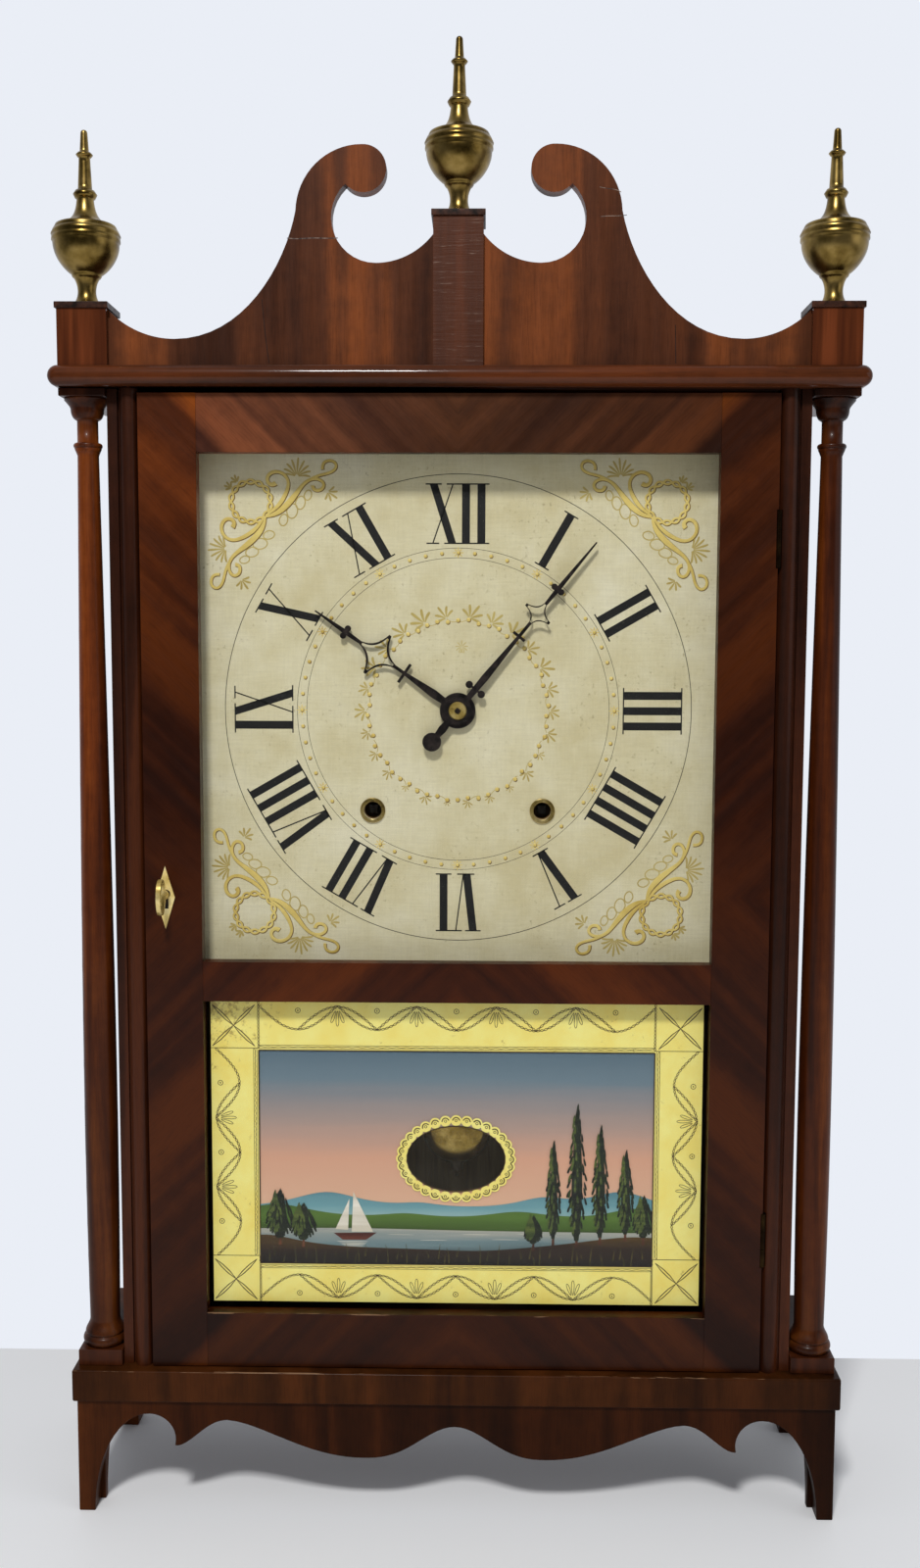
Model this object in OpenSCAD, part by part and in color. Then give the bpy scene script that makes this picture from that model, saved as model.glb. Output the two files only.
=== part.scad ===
// Pillar and scroll shelf clock with a weight-driven wooden movement, in millimetres.
// X runs to the right, Y from front to back and Z up.
// The origin is on the floor, midway between the outermost faces.

/* [Base] */
// Width of the base board
base_w = 424; // [410:1:440]
// Depth of the base board, front to back
base_d = 108; // [106:1:120]
// Thickness of the base board
base_t = 18; // [12:1:24]
// Height of the skirts and feet under the base board
skirt_h = 64.5; // [60:0.5:75]
// Thickness of the skirt boards
skirt_t = 12; // [8:1:15]
// How far the skirts stand inside the edge of the base board
skirt_inset = 2.2; // [1:0.2:5]
// Width of a foot where it meets the floor
foot_w = 9; // [6:0.5:14]
// Length along the floor of the curve from a foot to its arch
foot_curve_w = 31; // [24:1:36]
// Height of the arch beside each foot
arch_z = 56.8; // [50:0.2:58]
// Radius of the round hollow between arch and spur
hollow_r = 14.6; // [12:0.2:17]
// Distance from the middle to the second crest of the skirt
crest_x = 126.4; // [116:0.2:134]
// Height of the second crest
crest_z = 53.6; // [46:0.2:57]
// Distance from the middle to the lowest lobe of the skirt
lobe_x = 50.6; // [40:0.2:70]
// Height of the lowest lobe
lobe_z = 32.6; // [26:0.2:42]
// Height of the crest at the middle of the skirt
middle_crest_z = 51.2; // [44:0.2:57]
// Width of the rear foot, seen from the side
rear_foot_w = 14; // [10:1:22]
// Height of the arch in the side skirts
side_arch_z = 48; // [38:1:56]

/* [Case] */
// Thickness of the case sides
side_t = 16.2; // [14:0.2:20]
// Height of the case from base board to cornice
case_h = 533.5; // [525:0.5:560]
// Thickness of the back board
back_t = 8; // [6:0.5:9]
// Diameter of the bead on the front edge of each side
bead_d = 9.8; // [8:0.2:11]
// How far door and bead stand behind the front of the base board
front_set = 6.2; // [5:0.2:8]
// How far the flat front edge of a side stands behind its bead
fillet_set = 3.6; // [2.5:0.1:5]
// Width of the groove beside the bead
quirk_w = 1; // [0.6:0.1:1.6]
// Width of the cornice board
cornice_w = 428; // [422:1:440]
// Thickness of the cornice board
cornice_t = 11; // [9:0.5:14]
// How far the cornice stands out in front of the base board
cornice_lip = 2; // [0:0.5:4]

/* [Pediment] */
// Width and depth of the blocks under the finials
plinth_w = 26; // [22:0.5:30]
// How far the blocks stand inside the edge of the cornice
plinth_set = 5.3; // [4:0.1:8]
// Height of the two corner blocks
corner_plinth_h = 29; // [24:0.5:36]
// Height of the middle block
middle_plinth_h = 75.2; // [72:0.2:84]
// Thickness of the caps on the blocks
cap_t = 3.2; // [2:0.2:5]
// Overhang of the caps
cap_lip = 1; // [0.5:0.1:2]
// Thickness of the scroll board
scroll_t = 9; // [7:0.5:12]
// How far the scroll board stands behind the front of the blocks
scroll_set = 3.7; // [2:0.1:6]
// Distance from the middle to the eye of each scroll
eye_x = 49.3; // [46:0.1:52]
// Height of the eyes of the scrolls above the cornice
eye_z = 99.8; // [97:0.2:104]
// Radius of the round eye at the end of each scroll
eye_r = 12; // [10.5:0.1:13]
// Radius of the outer turn of the scroll
turn_r = 34.4; // [32:0.2:36]
// Radius of the inner cove of the scroll
cove_r = 22.9; // [21.5:0.1:24]
// Height of the cove's lowest point above the cornice
cove_z = 52.4; // [46:0.2:56]
// Distance from the middle to the cove's lowest point
cove_x = 43; // [41:0.2:45]
// Height of the scroll board beside the middle block
saddle_z = 67; // [62:0.2:72]
// Distance from the middle to the low dip of the scroll board
dip_x = 148; // [140:0.5:154]
// Height of the low dip above the cornice
dip_z = 14; // [9:0.2:18]
// Height of the scroll board where it meets a corner block
wing_z = 29; // [24:0.2:32]

/* [Finials] */
// Height of a finial
finial_h = 90; // [80:0.5:100]
// Largest diameter of a finial
finial_d = 36; // [30:0.5:38]
// Radius of the dowel under a finial
dowel_r = 2.5; // [1.5:0.1:3.5]
// Length of the dowel under a finial
dowel_l = 14; // [8:1:20]

/* [Pillars] */
// Width of the square blocks above and below a pillar
block_w = 24.4; // [22:0.2:25]
// Height of the block below a pillar
block_h = 9; // [6:0.5:14]
// Height of the block above a pillar
abacus_h = 4.2; // [3:0.2:8]
// Largest diameter of the pillar shaft
shaft_d = 18.2; // [15:0.2:20]
// Diameter of the shaft at its foot
shaft_foot_d = 16.4; // [13:0.2:17]
// Diameter of the shaft at its top
shaft_top_d = 11; // [9:0.2:12]
// Diameter of the turned base of a pillar
torus_d = 24.2; // [20:0.2:24.2]
// Height of the turned base of a pillar
torus_h = 14; // [10:0.5:18]
// Height of the turned capital
capital_h = 11.5; // [9:0.5:16]
// Distance from the capital down to the collar on the shaft
collar_drop = 11.5; // [8:0.5:16]
// Gap between the blocks and the side of the case
block_gap = 0.3; // [0.2:0.1:1]

/* [Door] */
// Width of the door
door_w = 336; // [330:1:344]
// Thickness of the door
door_t = 16; // [15:0.5:17]
// Gap between the door and each side of the case
door_gap = 0.6; // [0.4:0.1:1]
// Gap above the door
door_top_gap = 2.6; // [1:0.2:5]
// Gap below the door
door_bottom_gap = 0.7; // [0.4:0.1:2]
// Width of the stiles and of the top and bottom rails
stile_w = 30.6; // [28:0.2:34]
// Width of the rail between the two panes
middle_rail_w = 21.8; // [16:0.2:28]
// Height of the lower opening
tablet_h = 175.7; // [165:0.5:190]
// Thickness of the glass
glass_t = 2; // [1.5:0.1:3]
// Width of the rebate that holds the glass
rebate_w = 5; // [3:0.5:7]
// Thickness of the door in front of the glass
lip_t = 8; // [6:0.5:9]
// Gap round the glass in its rebate
glass_gap = 0.3; // [0.1:0.1:0.5]

/* [Hinges and lock] */
// Radius of the hinge knuckles
knuckle_r = 1.6; // [1.4:0.1:1.8]
// Radius of the hinge pins
pin_r = 0.8; // [0.6:0.05:1]
// Running clearance of a pin or an arbor in its hole
run_gap = 0.05; // [0.03:0.01:0.1]
// Depth of the hinge axis behind the front of the door
hinge_set = 1.4; // [1.2:0.1:1.5]
// Length of one hinge
hinge_l = 30; // [24:1:40]
// Distance from the end of the door to the middle of a hinge
hinge_end = 75; // [50:1:120]
// Width of a hinge leaf
leaf_w = 10; // [6:0.5:12]
// Thickness of a hinge leaf
leaf_t = 1; // [0.6:0.1:1.4]
// Distance from the edge of the door to the key
key_x = 11; // [10:0.2:12]
// Height of the key above the foot of the door
key_z = 265.3; // [240:0.1:290]
// How far the key stands out in front of the door
key_out = 19.2; // [17:0.2:24]
// Radius of the key's shank
shank_r = 1.7; // [1.3:0.1:1.9]
// Height of the key's bow
bow_h = 19.4; // [15:0.2:24]
// Reach of the key's bit from its axis
bit_r = 5.5; // [5:0.1:5.8]
// Travel of the lock bolt
bolt_travel = 4.5; // [3:0.1:4.8]
// Height of the escutcheon
escutcheon_h = 34.2; // [28:0.2:40]
// Width of the escutcheon
escutcheon_w = 10.4; // [9:0.2:14]
// Thickness of the escutcheon
escutcheon_t = 0.8; // [0.5:0.1:1.2]

/* [Dial and hands] */
// Depth of the dial's face behind the front of the base board
dial_set = 26; // [25:0.2:27]
// Thickness of the dial board
dial_t = 7; // [5:0.2:7.4]
// How far the dial board reaches behind the door's rails, above and below
dial_lap = 14.25; // [10:0.25:18]
// Distance from the middle to each winding hole
wind_x = 46.4; // [44:0.2:48]
// Distance from the dial's centre down to the winding holes
wind_drop = 54.9; // [52:0.1:57]
// Diameter of the winding holes
wind_hole_d = 9.6; // [8.4:0.2:11]
// Diameter of the brass rings round the winding holes
grommet_d = 13.8; // [12:0.2:17]
// Length of the minute hand from the centre
minute_l = 117; // [100:1:124]
// Length of the hour hand from the centre
hour_l = 94; // [80:1:105]
// Thickness of the hands
hand_t = 1.2; // [0.8:0.1:1.6]
// Angle of the minute hand from twelve, clockwise
minute_angle = 39.4; // [0:0.1:359]
// Angle of the hour hand from twelve, clockwise
hour_angle = 304.8; // [0:0.1:359]

/* [Movement] */
// Width of the movement plates
plate_w = 156; // [152:1:162]
// Height of the plates above the dial's centre
plate_up = 88; // [84:1:96]
// Height of the plates below the dial's centre
plate_down = 104; // [100:1:110]
// Thickness of the plates
plate_t = 6; // [5:0.2:6.4]
// Depth of the front plate behind the front of the base board
plate_set = 45; // [44.6:0.2:45.4]
// Space between the plates
plate_gap = 36; // [35.6:0.1:36.4]
// Radius of the posts between the plates
post_r = 5; // [3:0.5:7]
// Size of the train's teeth, as pitch diameter for each tooth
train_module = 1.375; // [1.34:0.005:1.4]
// Teeth on each wheel of the train
wheel_teeth = 48; // [48]
// Leaves on each pinion of the train
pinion_leaves = 6; // [6]
// Radius of the train's arbors
arbor_r = 1.5; // [1.2:0.1:1.8]
// Radius of the winding arbors
wind_arbor_r = 2.5; // [2.2:0.1:2.6]
// Size of the motion work's teeth, as pitch diameter for each tooth
motion_module = 0.9; // [0.86:0.01:0.94]
// Radius of the drums that take the cords
drum_r = 12.5; // [10:0.5:14]
// Radius of the escape wheel
escape_r = 20; // [18:0.2:20.6]
// Height of the pendulum's pivot above the escape wheel
verge_rise = 24.4; // [24:0.2:26]
// Length of the pendulum from pivot to middle of the bob
pendulum_l = 304; // [290:1:312]
// Radius of the bob
bob_r = 19; // [12:0.5:22]
// Thickness of the bob
bob_t = 10; // [7:0.5:11]
// Radius of the pendulum rod
rod_r = 1; // [0.8:0.1:1.2]
// Inner radius of the loop in the rod, which clears the hands' arbor
loop_r = 10.5; // [10:0.1:11]
// Radius of the bell
bell_r = 28; // [22:1:32]
// Distance from the dial's centre down to the bell
bell_drop = 162; // [158:1:170]

/* [Weights] */
// Radius of the weights
weight_r = 22; // [18:0.5:23]
// Height of the weights
weight_h = 140; // [110:1:160]
// Distance from the middle to each weight
weight_x = 122; // [118:0.5:126]
// Height of the weights above the base board when run down
weight_rest = 6; // [3:0.5:20]
// Radius of the cords
cord_r = 0.8; // [0.5:0.1:1]
// Radius at which the cord lies on its pulley
pulley_r = 11; // [9:0.5:12]

/* [Hidden] */
$fn = 64;
// Overshoot of a cutting body past the face it opens
over = 1;
// Steps in each drawn curve
curve_n = 16;

// Heights that the pieces share
deck_z = skirt_h + base_t;
cornice_z = deck_z + case_h;
top_z = cornice_z + cornice_t;
case_w = door_w + 2 * door_gap;
case_outer = case_w / 2 + side_t;
// Front of the base board, set so that key and back stand equally far from the origin
base_front = (key_out - front_set - base_d) / 2;
door_front = base_front + front_set;
back_front = base_front + base_d - back_t;

// Outlines made of arcs, of half-waves and of one four-point curve
function arc_points(c, rx, rz, a0, a1) =
    [for (i = [0:curve_n]) let (a = a0 + (a1 - a0) * i / curve_n) c + [rx * cos(a), rz * sin(a)]];
function wave_points(p, q, bend) =
    [for (i = [1:curve_n]) let (t = pow(i / curve_n, bend))
        [p[0] + (q[0] - p[0]) * i / curve_n, p[1] + (q[1] - p[1]) * (1 - cos(180 * t)) / 2]];
function curve_points(p, q, r, s) =
    [for (i = [0:curve_n]) let (t = i / curve_n, u = 1 - t)
        u * u * u * p + 3 * u * u * t * q + 3 * u * t * t * r + t * t * t * s];
function flip_x(points) = [for (i = [len(points) - 1:-1:0]) [-points[i][0], points[i][1]]];
function polar(c, r, a) = c + r * [cos(a), sin(a)];

// A block between two corners
module slab(lo, hi) {
    translate(lo) cube(hi - lo);
}

// A flat shape in X and Z, given thickness from y0 back to y1
module along_y(y0, y1) {
    translate([0, y1, 0]) rotate([90, 0, 0]) linear_extrude(y1 - y0) children();
}

// A round bar along Y
module bar_y(x, z, r, y0, y1) {
    translate([x, y1, z]) rotate([90, 0, 0]) cylinder(r = r, h = y1 - y0);
}

// A round turning about Y, from points of radius and depth
module turned_y(x, z, points) {
    translate([x, 0, z]) rotate([-90, 0, 0]) rotate_extrude() polygon(points);
}

// Wood and metal colours
mahogany = "#4a2413";
veneer = "#5c2c16";
pine = "#b08d5c";
oak = "#a07845";
cherry = "#8a5230";
brass = "#a88a48";
iron = "#3a3a3c";

// Base board, which carries the case and the pillars
module base_board() {
    color(mahogany)
        slab([-base_w / 2, base_front, skirt_h], [base_w / 2, base_front + base_d, deck_z]);
}

// Lower edge of the front skirt, from the right foot to the middle
skirt_w = base_w - 2 * skirt_inset;
arch_x = skirt_w / 2 - foot_w - foot_curve_w;
spur_sweep = 195;
spur_tip = 0.8;
spur_x = arch_x - hollow_r - spur_tip;
spur_z = arch_z - hollow_r + hollow_r * sin(spur_sweep);
skirt_half = concat(
    [[skirt_w / 2, 0]],
    arc_points([arch_x, 0], foot_curve_w, arch_z, 0, 90),
    arc_points([arch_x, arch_z - hollow_r], hollow_r, hollow_r, 90, spur_sweep),
    [[spur_x, spur_z]],
    wave_points([spur_x, spur_z], [crest_x, crest_z], 0.85),
    wave_points([crest_x, crest_z], [lobe_x, lobe_z], 0.8),
    wave_points([lobe_x, lobe_z], [0, middle_crest_z], 1.3));
skirt_front = base_front + skirt_inset;

// Scalloped front skirt with its two feet
module front_skirt() {
    color(mahogany) along_y(skirt_front, skirt_front + skirt_t)
        polygon(concat([[-skirt_w / 2, skirt_h], [skirt_w / 2, skirt_h]],
            skirt_half, flip_x([for (i = [0:len(skirt_half) - 2]) skirt_half[i]])));
}

// Two side skirts, each an arch between a front and a rear foot
module side_skirts() {
    y0 = skirt_front + skirt_t;
    y1 = base_front + base_d;
    arch_l = y1 - y0 - rear_foot_w - foot_w / 2;
    arch_mid = y0 + foot_w / 2 + arch_l / 2;
    for (s = [-1, 1])
        color(mahogany) translate([s * (skirt_w - skirt_t) / 2 - skirt_t / 2, 0, 0])
            rotate([90, 0, 90]) linear_extrude(skirt_t)
                polygon(concat([[y0, skirt_h], [y0, 0]],
                    arc_points([arch_mid, 0], arch_l / 2, side_arch_z, 180, 0),
                    [[y1, 0], [y1, skirt_h]]));
}

// Case sides, each with a bead worked on its front edge
hinge_x = (door_w + door_gap) / 2;
hinge_y = door_front + hinge_set;
hinge_zs = [deck_z + door_bottom_gap + hinge_end, cornice_z - door_top_gap - hinge_end];
knuckle_gap = 0.3;
leaf_front = hinge_y + knuckle_r + knuckle_gap;
key_axis_x = -door_w / 2 + key_x;
key_axis_z = deck_z + door_bottom_gap + key_z;
bolt_h = 6;
bolt_t = 3;
bolt_gap = 0.3;
bolt_z = key_axis_z + bit_r - 2;
bolt_y = door_front + door_t - 7;

// Room round each hinge barrel
module barrel_room(r, l) {
    for (z = hinge_zs) translate([hinge_x, hinge_y, z - l / 2]) cylinder(r = r, h = l);
}

module case_side(s) {
    inner = case_w / 2;
    edge_y = door_front + fillet_set;
    bead_x = s * (inner + bead_d / 2);
    color(mahogany) difference() {
        union() {
            slab([min(s * inner, s * case_outer), edge_y, deck_z],
                [max(s * inner, s * case_outer), base_front + base_d, cornice_z]);
            translate([bead_x, door_front + bead_d / 2, deck_z])
                cylinder(d = bead_d, h = case_h);
        }
        translate([s * (inner + bead_d + quirk_w / 2) - quirk_w / 2, edge_y - over, deck_z - over])
            cube([quirk_w, over + 2 * quirk_w, case_h + 2 * over]);
        if (s > 0) {
            barrel_room(knuckle_r + knuckle_gap, hinge_l + 2 * knuckle_gap);
            neck_room(1);
            hinge_leaf_plates(1);
        } else
            translate([-inner - bolt_travel - 2 * bolt_gap, bolt_y - bolt_gap, bolt_z - bolt_gap])
                cube([bolt_travel + 2 * bolt_gap + over, bolt_t + 2 * bolt_gap,
                    bolt_h + 2 * bolt_gap]);
    }
}

module left_side() {
    case_side(-1);
}

module right_side() {
    case_side(1);
}

// Back board between the sides
module back_board() {
    color(pine) slab([-case_w / 2, back_front, deck_z],
        [case_w / 2, base_front + base_d, cornice_z]);
}

// Pulleys let into the cornice board, over the weights
pulley_x = weight_x - pulley_r;
pulley_z = cornice_z + cornice_t / 2;
pulley_rim = pulley_r + 1.2;
pulley_t = 6;
pulley_axle_r = 2;
pulley_axle_l = 24;
slot_gap = 1.5;
front_plate_y = base_front + plate_set;
back_plate_y = front_plate_y + plate_t + plate_gap;
cord_y = front_plate_y + plate_t + 22;

// Cornice board with a round nose on its front edge and its two ends
module cornice_board() {
    nose = cornice_t / 2;
    front = base_front - cornice_lip + nose;
    back = base_front + base_d;
    half = cornice_w / 2 - nose;
    mid_z = cornice_z + nose;
    color(mahogany) difference() {
        union() {
            slab([-half, front, cornice_z], [half, back, top_z]);
            translate([-half, front, mid_z]) rotate([0, 90, 0]) cylinder(r = nose, h = 2 * half);
            for (s = [-1, 1]) {
                bar_y(s * half, mid_z, nose, front, back);
                translate([s * half, front, mid_z]) sphere(r = nose);
            }
        }
        for (s = [-1, 1]) {
            translate([s * pulley_x - pulley_rim - slot_gap, cord_y - pulley_t / 2 - slot_gap,
                cornice_z - over])
                cube([2 * (pulley_rim + slot_gap), pulley_t + 2 * slot_gap, cornice_t + 2 * over]);
            bar_y(s * pulley_x, pulley_z, pulley_axle_r + run_gap,
                cord_y - pulley_axle_l / 2 - 2 * run_gap, back + over);
        }
    }
}

// Scroll board: outer turn, neck, dip and wing, then the eye and the cove
plinth_front = base_front - cornice_lip + plinth_set;
scroll_front = plinth_front + scroll_set;
wing_x = cornice_w / 2 - plinth_set - plinth_w;
turn_c = [eye_x + 0.7, eye_z + eye_r - turn_r];
neck_top = polar(turn_c, turn_r, 2);
neck_slope = 28;
dip_reach = 36;
wing_run = wing_x - dip_x;
wing_rise = wing_z - dip_z;
wing_r = (wing_run * wing_run + wing_rise * wing_rise) / (2 * wing_rise);
cove_c = [cove_x, cove_z + cove_r];
cove_start = 66;
saddle_run = cove_x - plinth_w / 2;
saddle_rise = saddle_z - cove_z;
saddle_r = (saddle_run * saddle_run + saddle_rise * saddle_rise) / (2 * saddle_rise);
scroll_half = concat(
    [[0, 0], [wing_x, 0], [wing_x, wing_z]],
    arc_points([dip_x, dip_z + wing_r], wing_r, wing_r, -90 + asin(wing_run / wing_r), -90),
    curve_points([dip_x, dip_z], [dip_x - dip_reach, dip_z],
        neck_top + [neck_slope * 0.2, -neck_slope], neck_top),
    arc_points(turn_c, turn_r, turn_r, 2, 90),
    arc_points(cove_c, cove_r, cove_r, cove_start, -90),
    arc_points([cove_x, cove_z + saddle_r], saddle_r, saddle_r, -90,
        -90 - asin(saddle_run / saddle_r)),
    [[0, saddle_z]]);

module scroll_board() {
    color(veneer) difference() {
        translate([0, 0, top_z]) along_y(scroll_front, scroll_front + scroll_t)
            for (s = [0, 1]) mirror([s, 0]) union() {
                polygon(scroll_half);
                translate([eye_x, eye_z]) circle(r = eye_r);
            }
        dowel_hole(1);
    }
}

// Blocks that carry the finials, their caps, and the finials' places
finial_xs = [-(wing_x + plinth_w / 2), 0, wing_x + plinth_w / 2];
finial_y = plinth_front + plinth_w / 2;
function block_top(i) = top_z + (i == 1 ? middle_plinth_h : corner_plinth_h);
function finial_z(i) = block_top(i) + cap_t;

module dowel_hole(i) {
    translate([finial_xs[i], finial_y, finial_z(i) - dowel_l - run_gap])
        cylinder(r = dowel_r + run_gap, h = dowel_l + over);
}

module finial_blocks() {
    for (i = [0:2])
        color(veneer) difference() {
            translate([finial_xs[i] - plinth_w / 2, plinth_front, top_z])
                cube([plinth_w, plinth_w, block_top(i) - top_z]);
            dowel_hole(i);
            if (i == 1)
                slab([-plinth_w / 2 - over, scroll_front, top_z - over],
                    [plinth_w / 2 + over, scroll_front + scroll_t, top_z + saddle_z]);
        }
}

module block_caps() {
    cap_w = plinth_w + 2 * cap_lip;
    for (i = [0:2])
        color("#2a1810") difference() {
            translate([finial_xs[i] - cap_w / 2, finial_y - cap_w / 2, block_top(i)])
                cube([cap_w, cap_w, cap_t]);
            dowel_hole(i);
        }
}

// Turned urn finial, drawn from its tip down, with a dowel below
tip_r = 1.8;
finial_profile = let (r = finial_d / 2, h = finial_h) concat(
    [[0, h]],
    arc_points([0, h - tip_r], tip_r, tip_r, 60, 0),
    [[2.4, h - 11.4], [3.4, h - 11.6], [4.4, h - 12.7], [3.6, h - 13.8], [2.9, h - 14.1],
        [3.7, h - 30.6], [5, h - 30.9], [6.2, h - 32.8], [5.2, h - 34.8], [4.4, h - 35.1]],
    curve_points([4.4, h - 35.2], [5, h - 42], [6.6, h - 45], [10.2, h - 47.1]),
    curve_points([10.6, h - 47.2], [13, h - 47.9], [r - 3.4, h - 48.1], [r - 2.4, h - 48.8]),
    [[r - 1.7, h - 50.3], [r - 1.9, h - 50.7], [r - 1.2, h - 51], [r, h - 53.6],
        [r - 0.8, h - 54.2], [r - 0.3, h - 54.8], [r - 0.2, h - 56.6], [r - 0.9, h - 57.4]],
    curve_points([r - 0.8, h - 58], [r - 1.1, h - 64.5], [12.6, h - 70.5], [7.7, h - 73.8]),
    [[7.7, h - 74.4], [7.2, h - 75.2]],
    curve_points([6.6, h - 75.6], [4.4, h - 79], [3.7, 5], [7, 1.4]),
    [[7.3, 1], [7.3, 0], [dowel_r, 0], [dowel_r, -dowel_l], [0, -dowel_l]]);

module finial(i) {
    color(brass) translate([finial_xs[i], finial_y, finial_z(i)])
        rotate_extrude() polygon(finial_profile);
}

module corner_finials() {
    finial(0);
    finial(2);
}

module middle_finial() {
    finial(1);
}

// Turned pillars between their square blocks
pillar_x = case_outer + block_gap + block_w / 2;
pillar_y = door_front + block_w / 2;
pillar_foot_z = deck_z + block_h;
pillar_h = case_h - block_h - abacus_h;
pillar_profile = let (h = pillar_h, tr = torus_d / 2, top = shaft_top_d / 2,
        collar_z = pillar_h - capital_h - collar_drop) concat(
    [[0, 0], [tr - 1.7, 0]],
    arc_points([tr - 3.3, 3.3], 3.3, 3.3, -60, 55),
    [[tr - 1.9, 6.3], [tr - 1.9, 6.7]],
    curve_points([tr - 1.2, 6.9], [tr - 1.4, torus_h - 4.6], [shaft_foot_d / 2 + 0.7, torus_h - 3.4],
        [shaft_foot_d / 2, torus_h]),
    curve_points([shaft_foot_d / 2, torus_h + 1], [shaft_d / 2 + 0.6, torus_h + 90],
        [shaft_d / 2 + 0.2, collar_z * 0.45], [top + 0.1, collar_z - 6.6]),
    [[top + 1.6, collar_z - 3]],
    arc_points([top + 0.6, collar_z - 1.5], 1.5, 1.5, -60, 90),
    [[top, collar_z + 0.1], [top, h - capital_h]],
    arc_points([top, h - capital_h + 6], 3.2, 5.6, -80, -5),
    [[top + 3.2, h - capital_h + 6.1]],
    curve_points([top + 3.3, h - capital_h + 6.4], [top + 3.7, h - 3.8], [top + 5, h - 2.6],
        [top + 6.4, h - 0.9]),
    [[top + 6.4, h], [0, h]]);

module pillar(s) {
    color(mahogany) translate([s * pillar_x, pillar_y, pillar_foot_z])
        rotate_extrude() polygon(pillar_profile);
}

module left_pillar() {
    pillar(-1);
}

module right_pillar() {
    pillar(1);
}

module pillar_blocks() {
    for (s = [-1, 1], b = [[deck_z, block_h], [cornice_z - abacus_h, abacus_h]])
        color(mahogany) translate([s * pillar_x - block_w / 2, door_front, b[0]])
            cube([block_w, block_w, b[1]]);
}

// Door frame: two stiles and three rails, rebated behind for the glass
door_z = deck_z + door_bottom_gap;
door_top = cornice_z - door_top_gap;
door_back = door_front + door_t;
open_w = door_w - 2 * stile_w;
tablet_z = door_z + stile_w;
tablet_top = tablet_z + tablet_h;
dial_open_z = tablet_top + middle_rail_w;
dial_open_top = door_top - stile_w;
dial_z = (dial_open_z + dial_open_top) / 2;
glass_y = door_front + lip_t;
lock_w = 23.5;
lock_h = 24;
lock_t = 9;
lock_x = -door_w / 2 + 1.5;
lock_z = key_axis_z - 12.5;

// Rebates for both panes
module glass_rooms() {
    for (z = [[tablet_z, tablet_top], [dial_open_z, dial_open_top]])
        slab([-open_w / 2 - rebate_w, glass_y, z[0] - rebate_w],
            [open_w / 2 + rebate_w, door_back + over, z[1] + rebate_w]);
}

module stile(s) {
    x0 = s > 0 ? open_w / 2 : -door_w / 2;
    difference() {
        slab([x0, door_front, door_z], [x0 + stile_w, door_back, door_top]);
        glass_rooms();
        if (s > 0) {
            barrel_room(knuckle_r + knuckle_gap, hinge_l + 2 * knuckle_gap);
            neck_room(-1);
            hinge_leaf_plates(-1);
        } else {
            slab([lock_x, door_back - lock_t, lock_z],
                [lock_x + lock_w, door_back + over, lock_z + lock_h]);
            slab([-door_w / 2 - over, bolt_y - bolt_gap, bolt_z - bolt_gap],
                [lock_x + over, bolt_y + bolt_t + bolt_gap, bolt_z + bolt_h + bolt_gap]);
            keyhole(door_front - over, door_back);
        }
    }
}

// Round hole with a slot below for the key's bit
hole_gap = 0.3;
slot_w = 2.4;
module keyhole(y0, y1) {
    bar_y(key_axis_x, key_axis_z, shank_r + hole_gap, y0, y1);
    slab([key_axis_x - slot_w / 2, y0, key_axis_z - bit_r - hole_gap],
        [key_axis_x + slot_w / 2, y1, key_axis_z]);
}

module lock_stile() {
    color(veneer) stile(-1);
}

module hinge_stile() {
    color(veneer) stile(1);
}

module rail(z0, z1) {
    color(veneer) difference() {
        slab([-open_w / 2, door_front, z0], [open_w / 2, door_back, z1]);
        glass_rooms();
    }
}

module top_rail() {
    rail(dial_open_top, door_top);
}

module middle_rail() {
    rail(tablet_top, dial_open_z);
}

module bottom_rail() {
    rail(door_z, tablet_z);
}

module pane(z0, z1) {
    edge = rebate_w - glass_gap;
    color("lightcyan", 0.4) slab([-open_w / 2 - edge, glass_y, z0 - edge],
        [open_w / 2 + edge, glass_y + glass_t, z1 + edge]);
}

module dial_glass() {
    pane(dial_open_z, dial_open_top);
}

module tablet_glass() {
    pane(tablet_z, tablet_top);
}

// Brass butt hinges: side 1 is let into the case, side -1 into the door
knuckle_l = hinge_l / 3;
module hinge_leaf_plates(s) {
    for (z = hinge_zs)
        translate([leaf_x(s), leaf_front, z - hinge_l / 2]) cube([leaf_t, leaf_w, hinge_l]);
}

module knuckle(z) {
    translate([hinge_x, hinge_y, z]) cylinder(r = knuckle_r, h = knuckle_l - knuckle_gap / 2);
}

// Neck that joins a knuckle to its leaf, and the room for the necks of both hinges
function leaf_x(s) = s > 0 ? case_w / 2 : door_w / 2 - leaf_t;
module knuckle_neck(s, z) {
    translate([leaf_x(s), hinge_y, z])
        cube([leaf_t, leaf_front - hinge_y, knuckle_l - knuckle_gap / 2]);
}

module neck_room(s) {
    for (z = hinge_zs)
        translate([leaf_x(s), hinge_y, z - hinge_l / 2])
            cube([leaf_t, leaf_front - hinge_y + over, hinge_l]);
}

module pin_hole(r) {
    for (z = hinge_zs)
        translate([hinge_x, hinge_y, z - hinge_l / 2 - over]) cylinder(r = r, h = hinge_l + 2 * over);
}

module case_hinge_leaves() {
    color(brass) difference() {
        union() {
            hinge_leaf_plates(1);
            for (z = hinge_zs, k = [-1.5, 0.5]) {
                knuckle(z + k * knuckle_l + (k > 0 ? knuckle_gap / 2 : 0));
                knuckle_neck(1, z + k * knuckle_l + (k > 0 ? knuckle_gap / 2 : 0));
            }
        }
        pin_hole(pin_r);
    }
}

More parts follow.
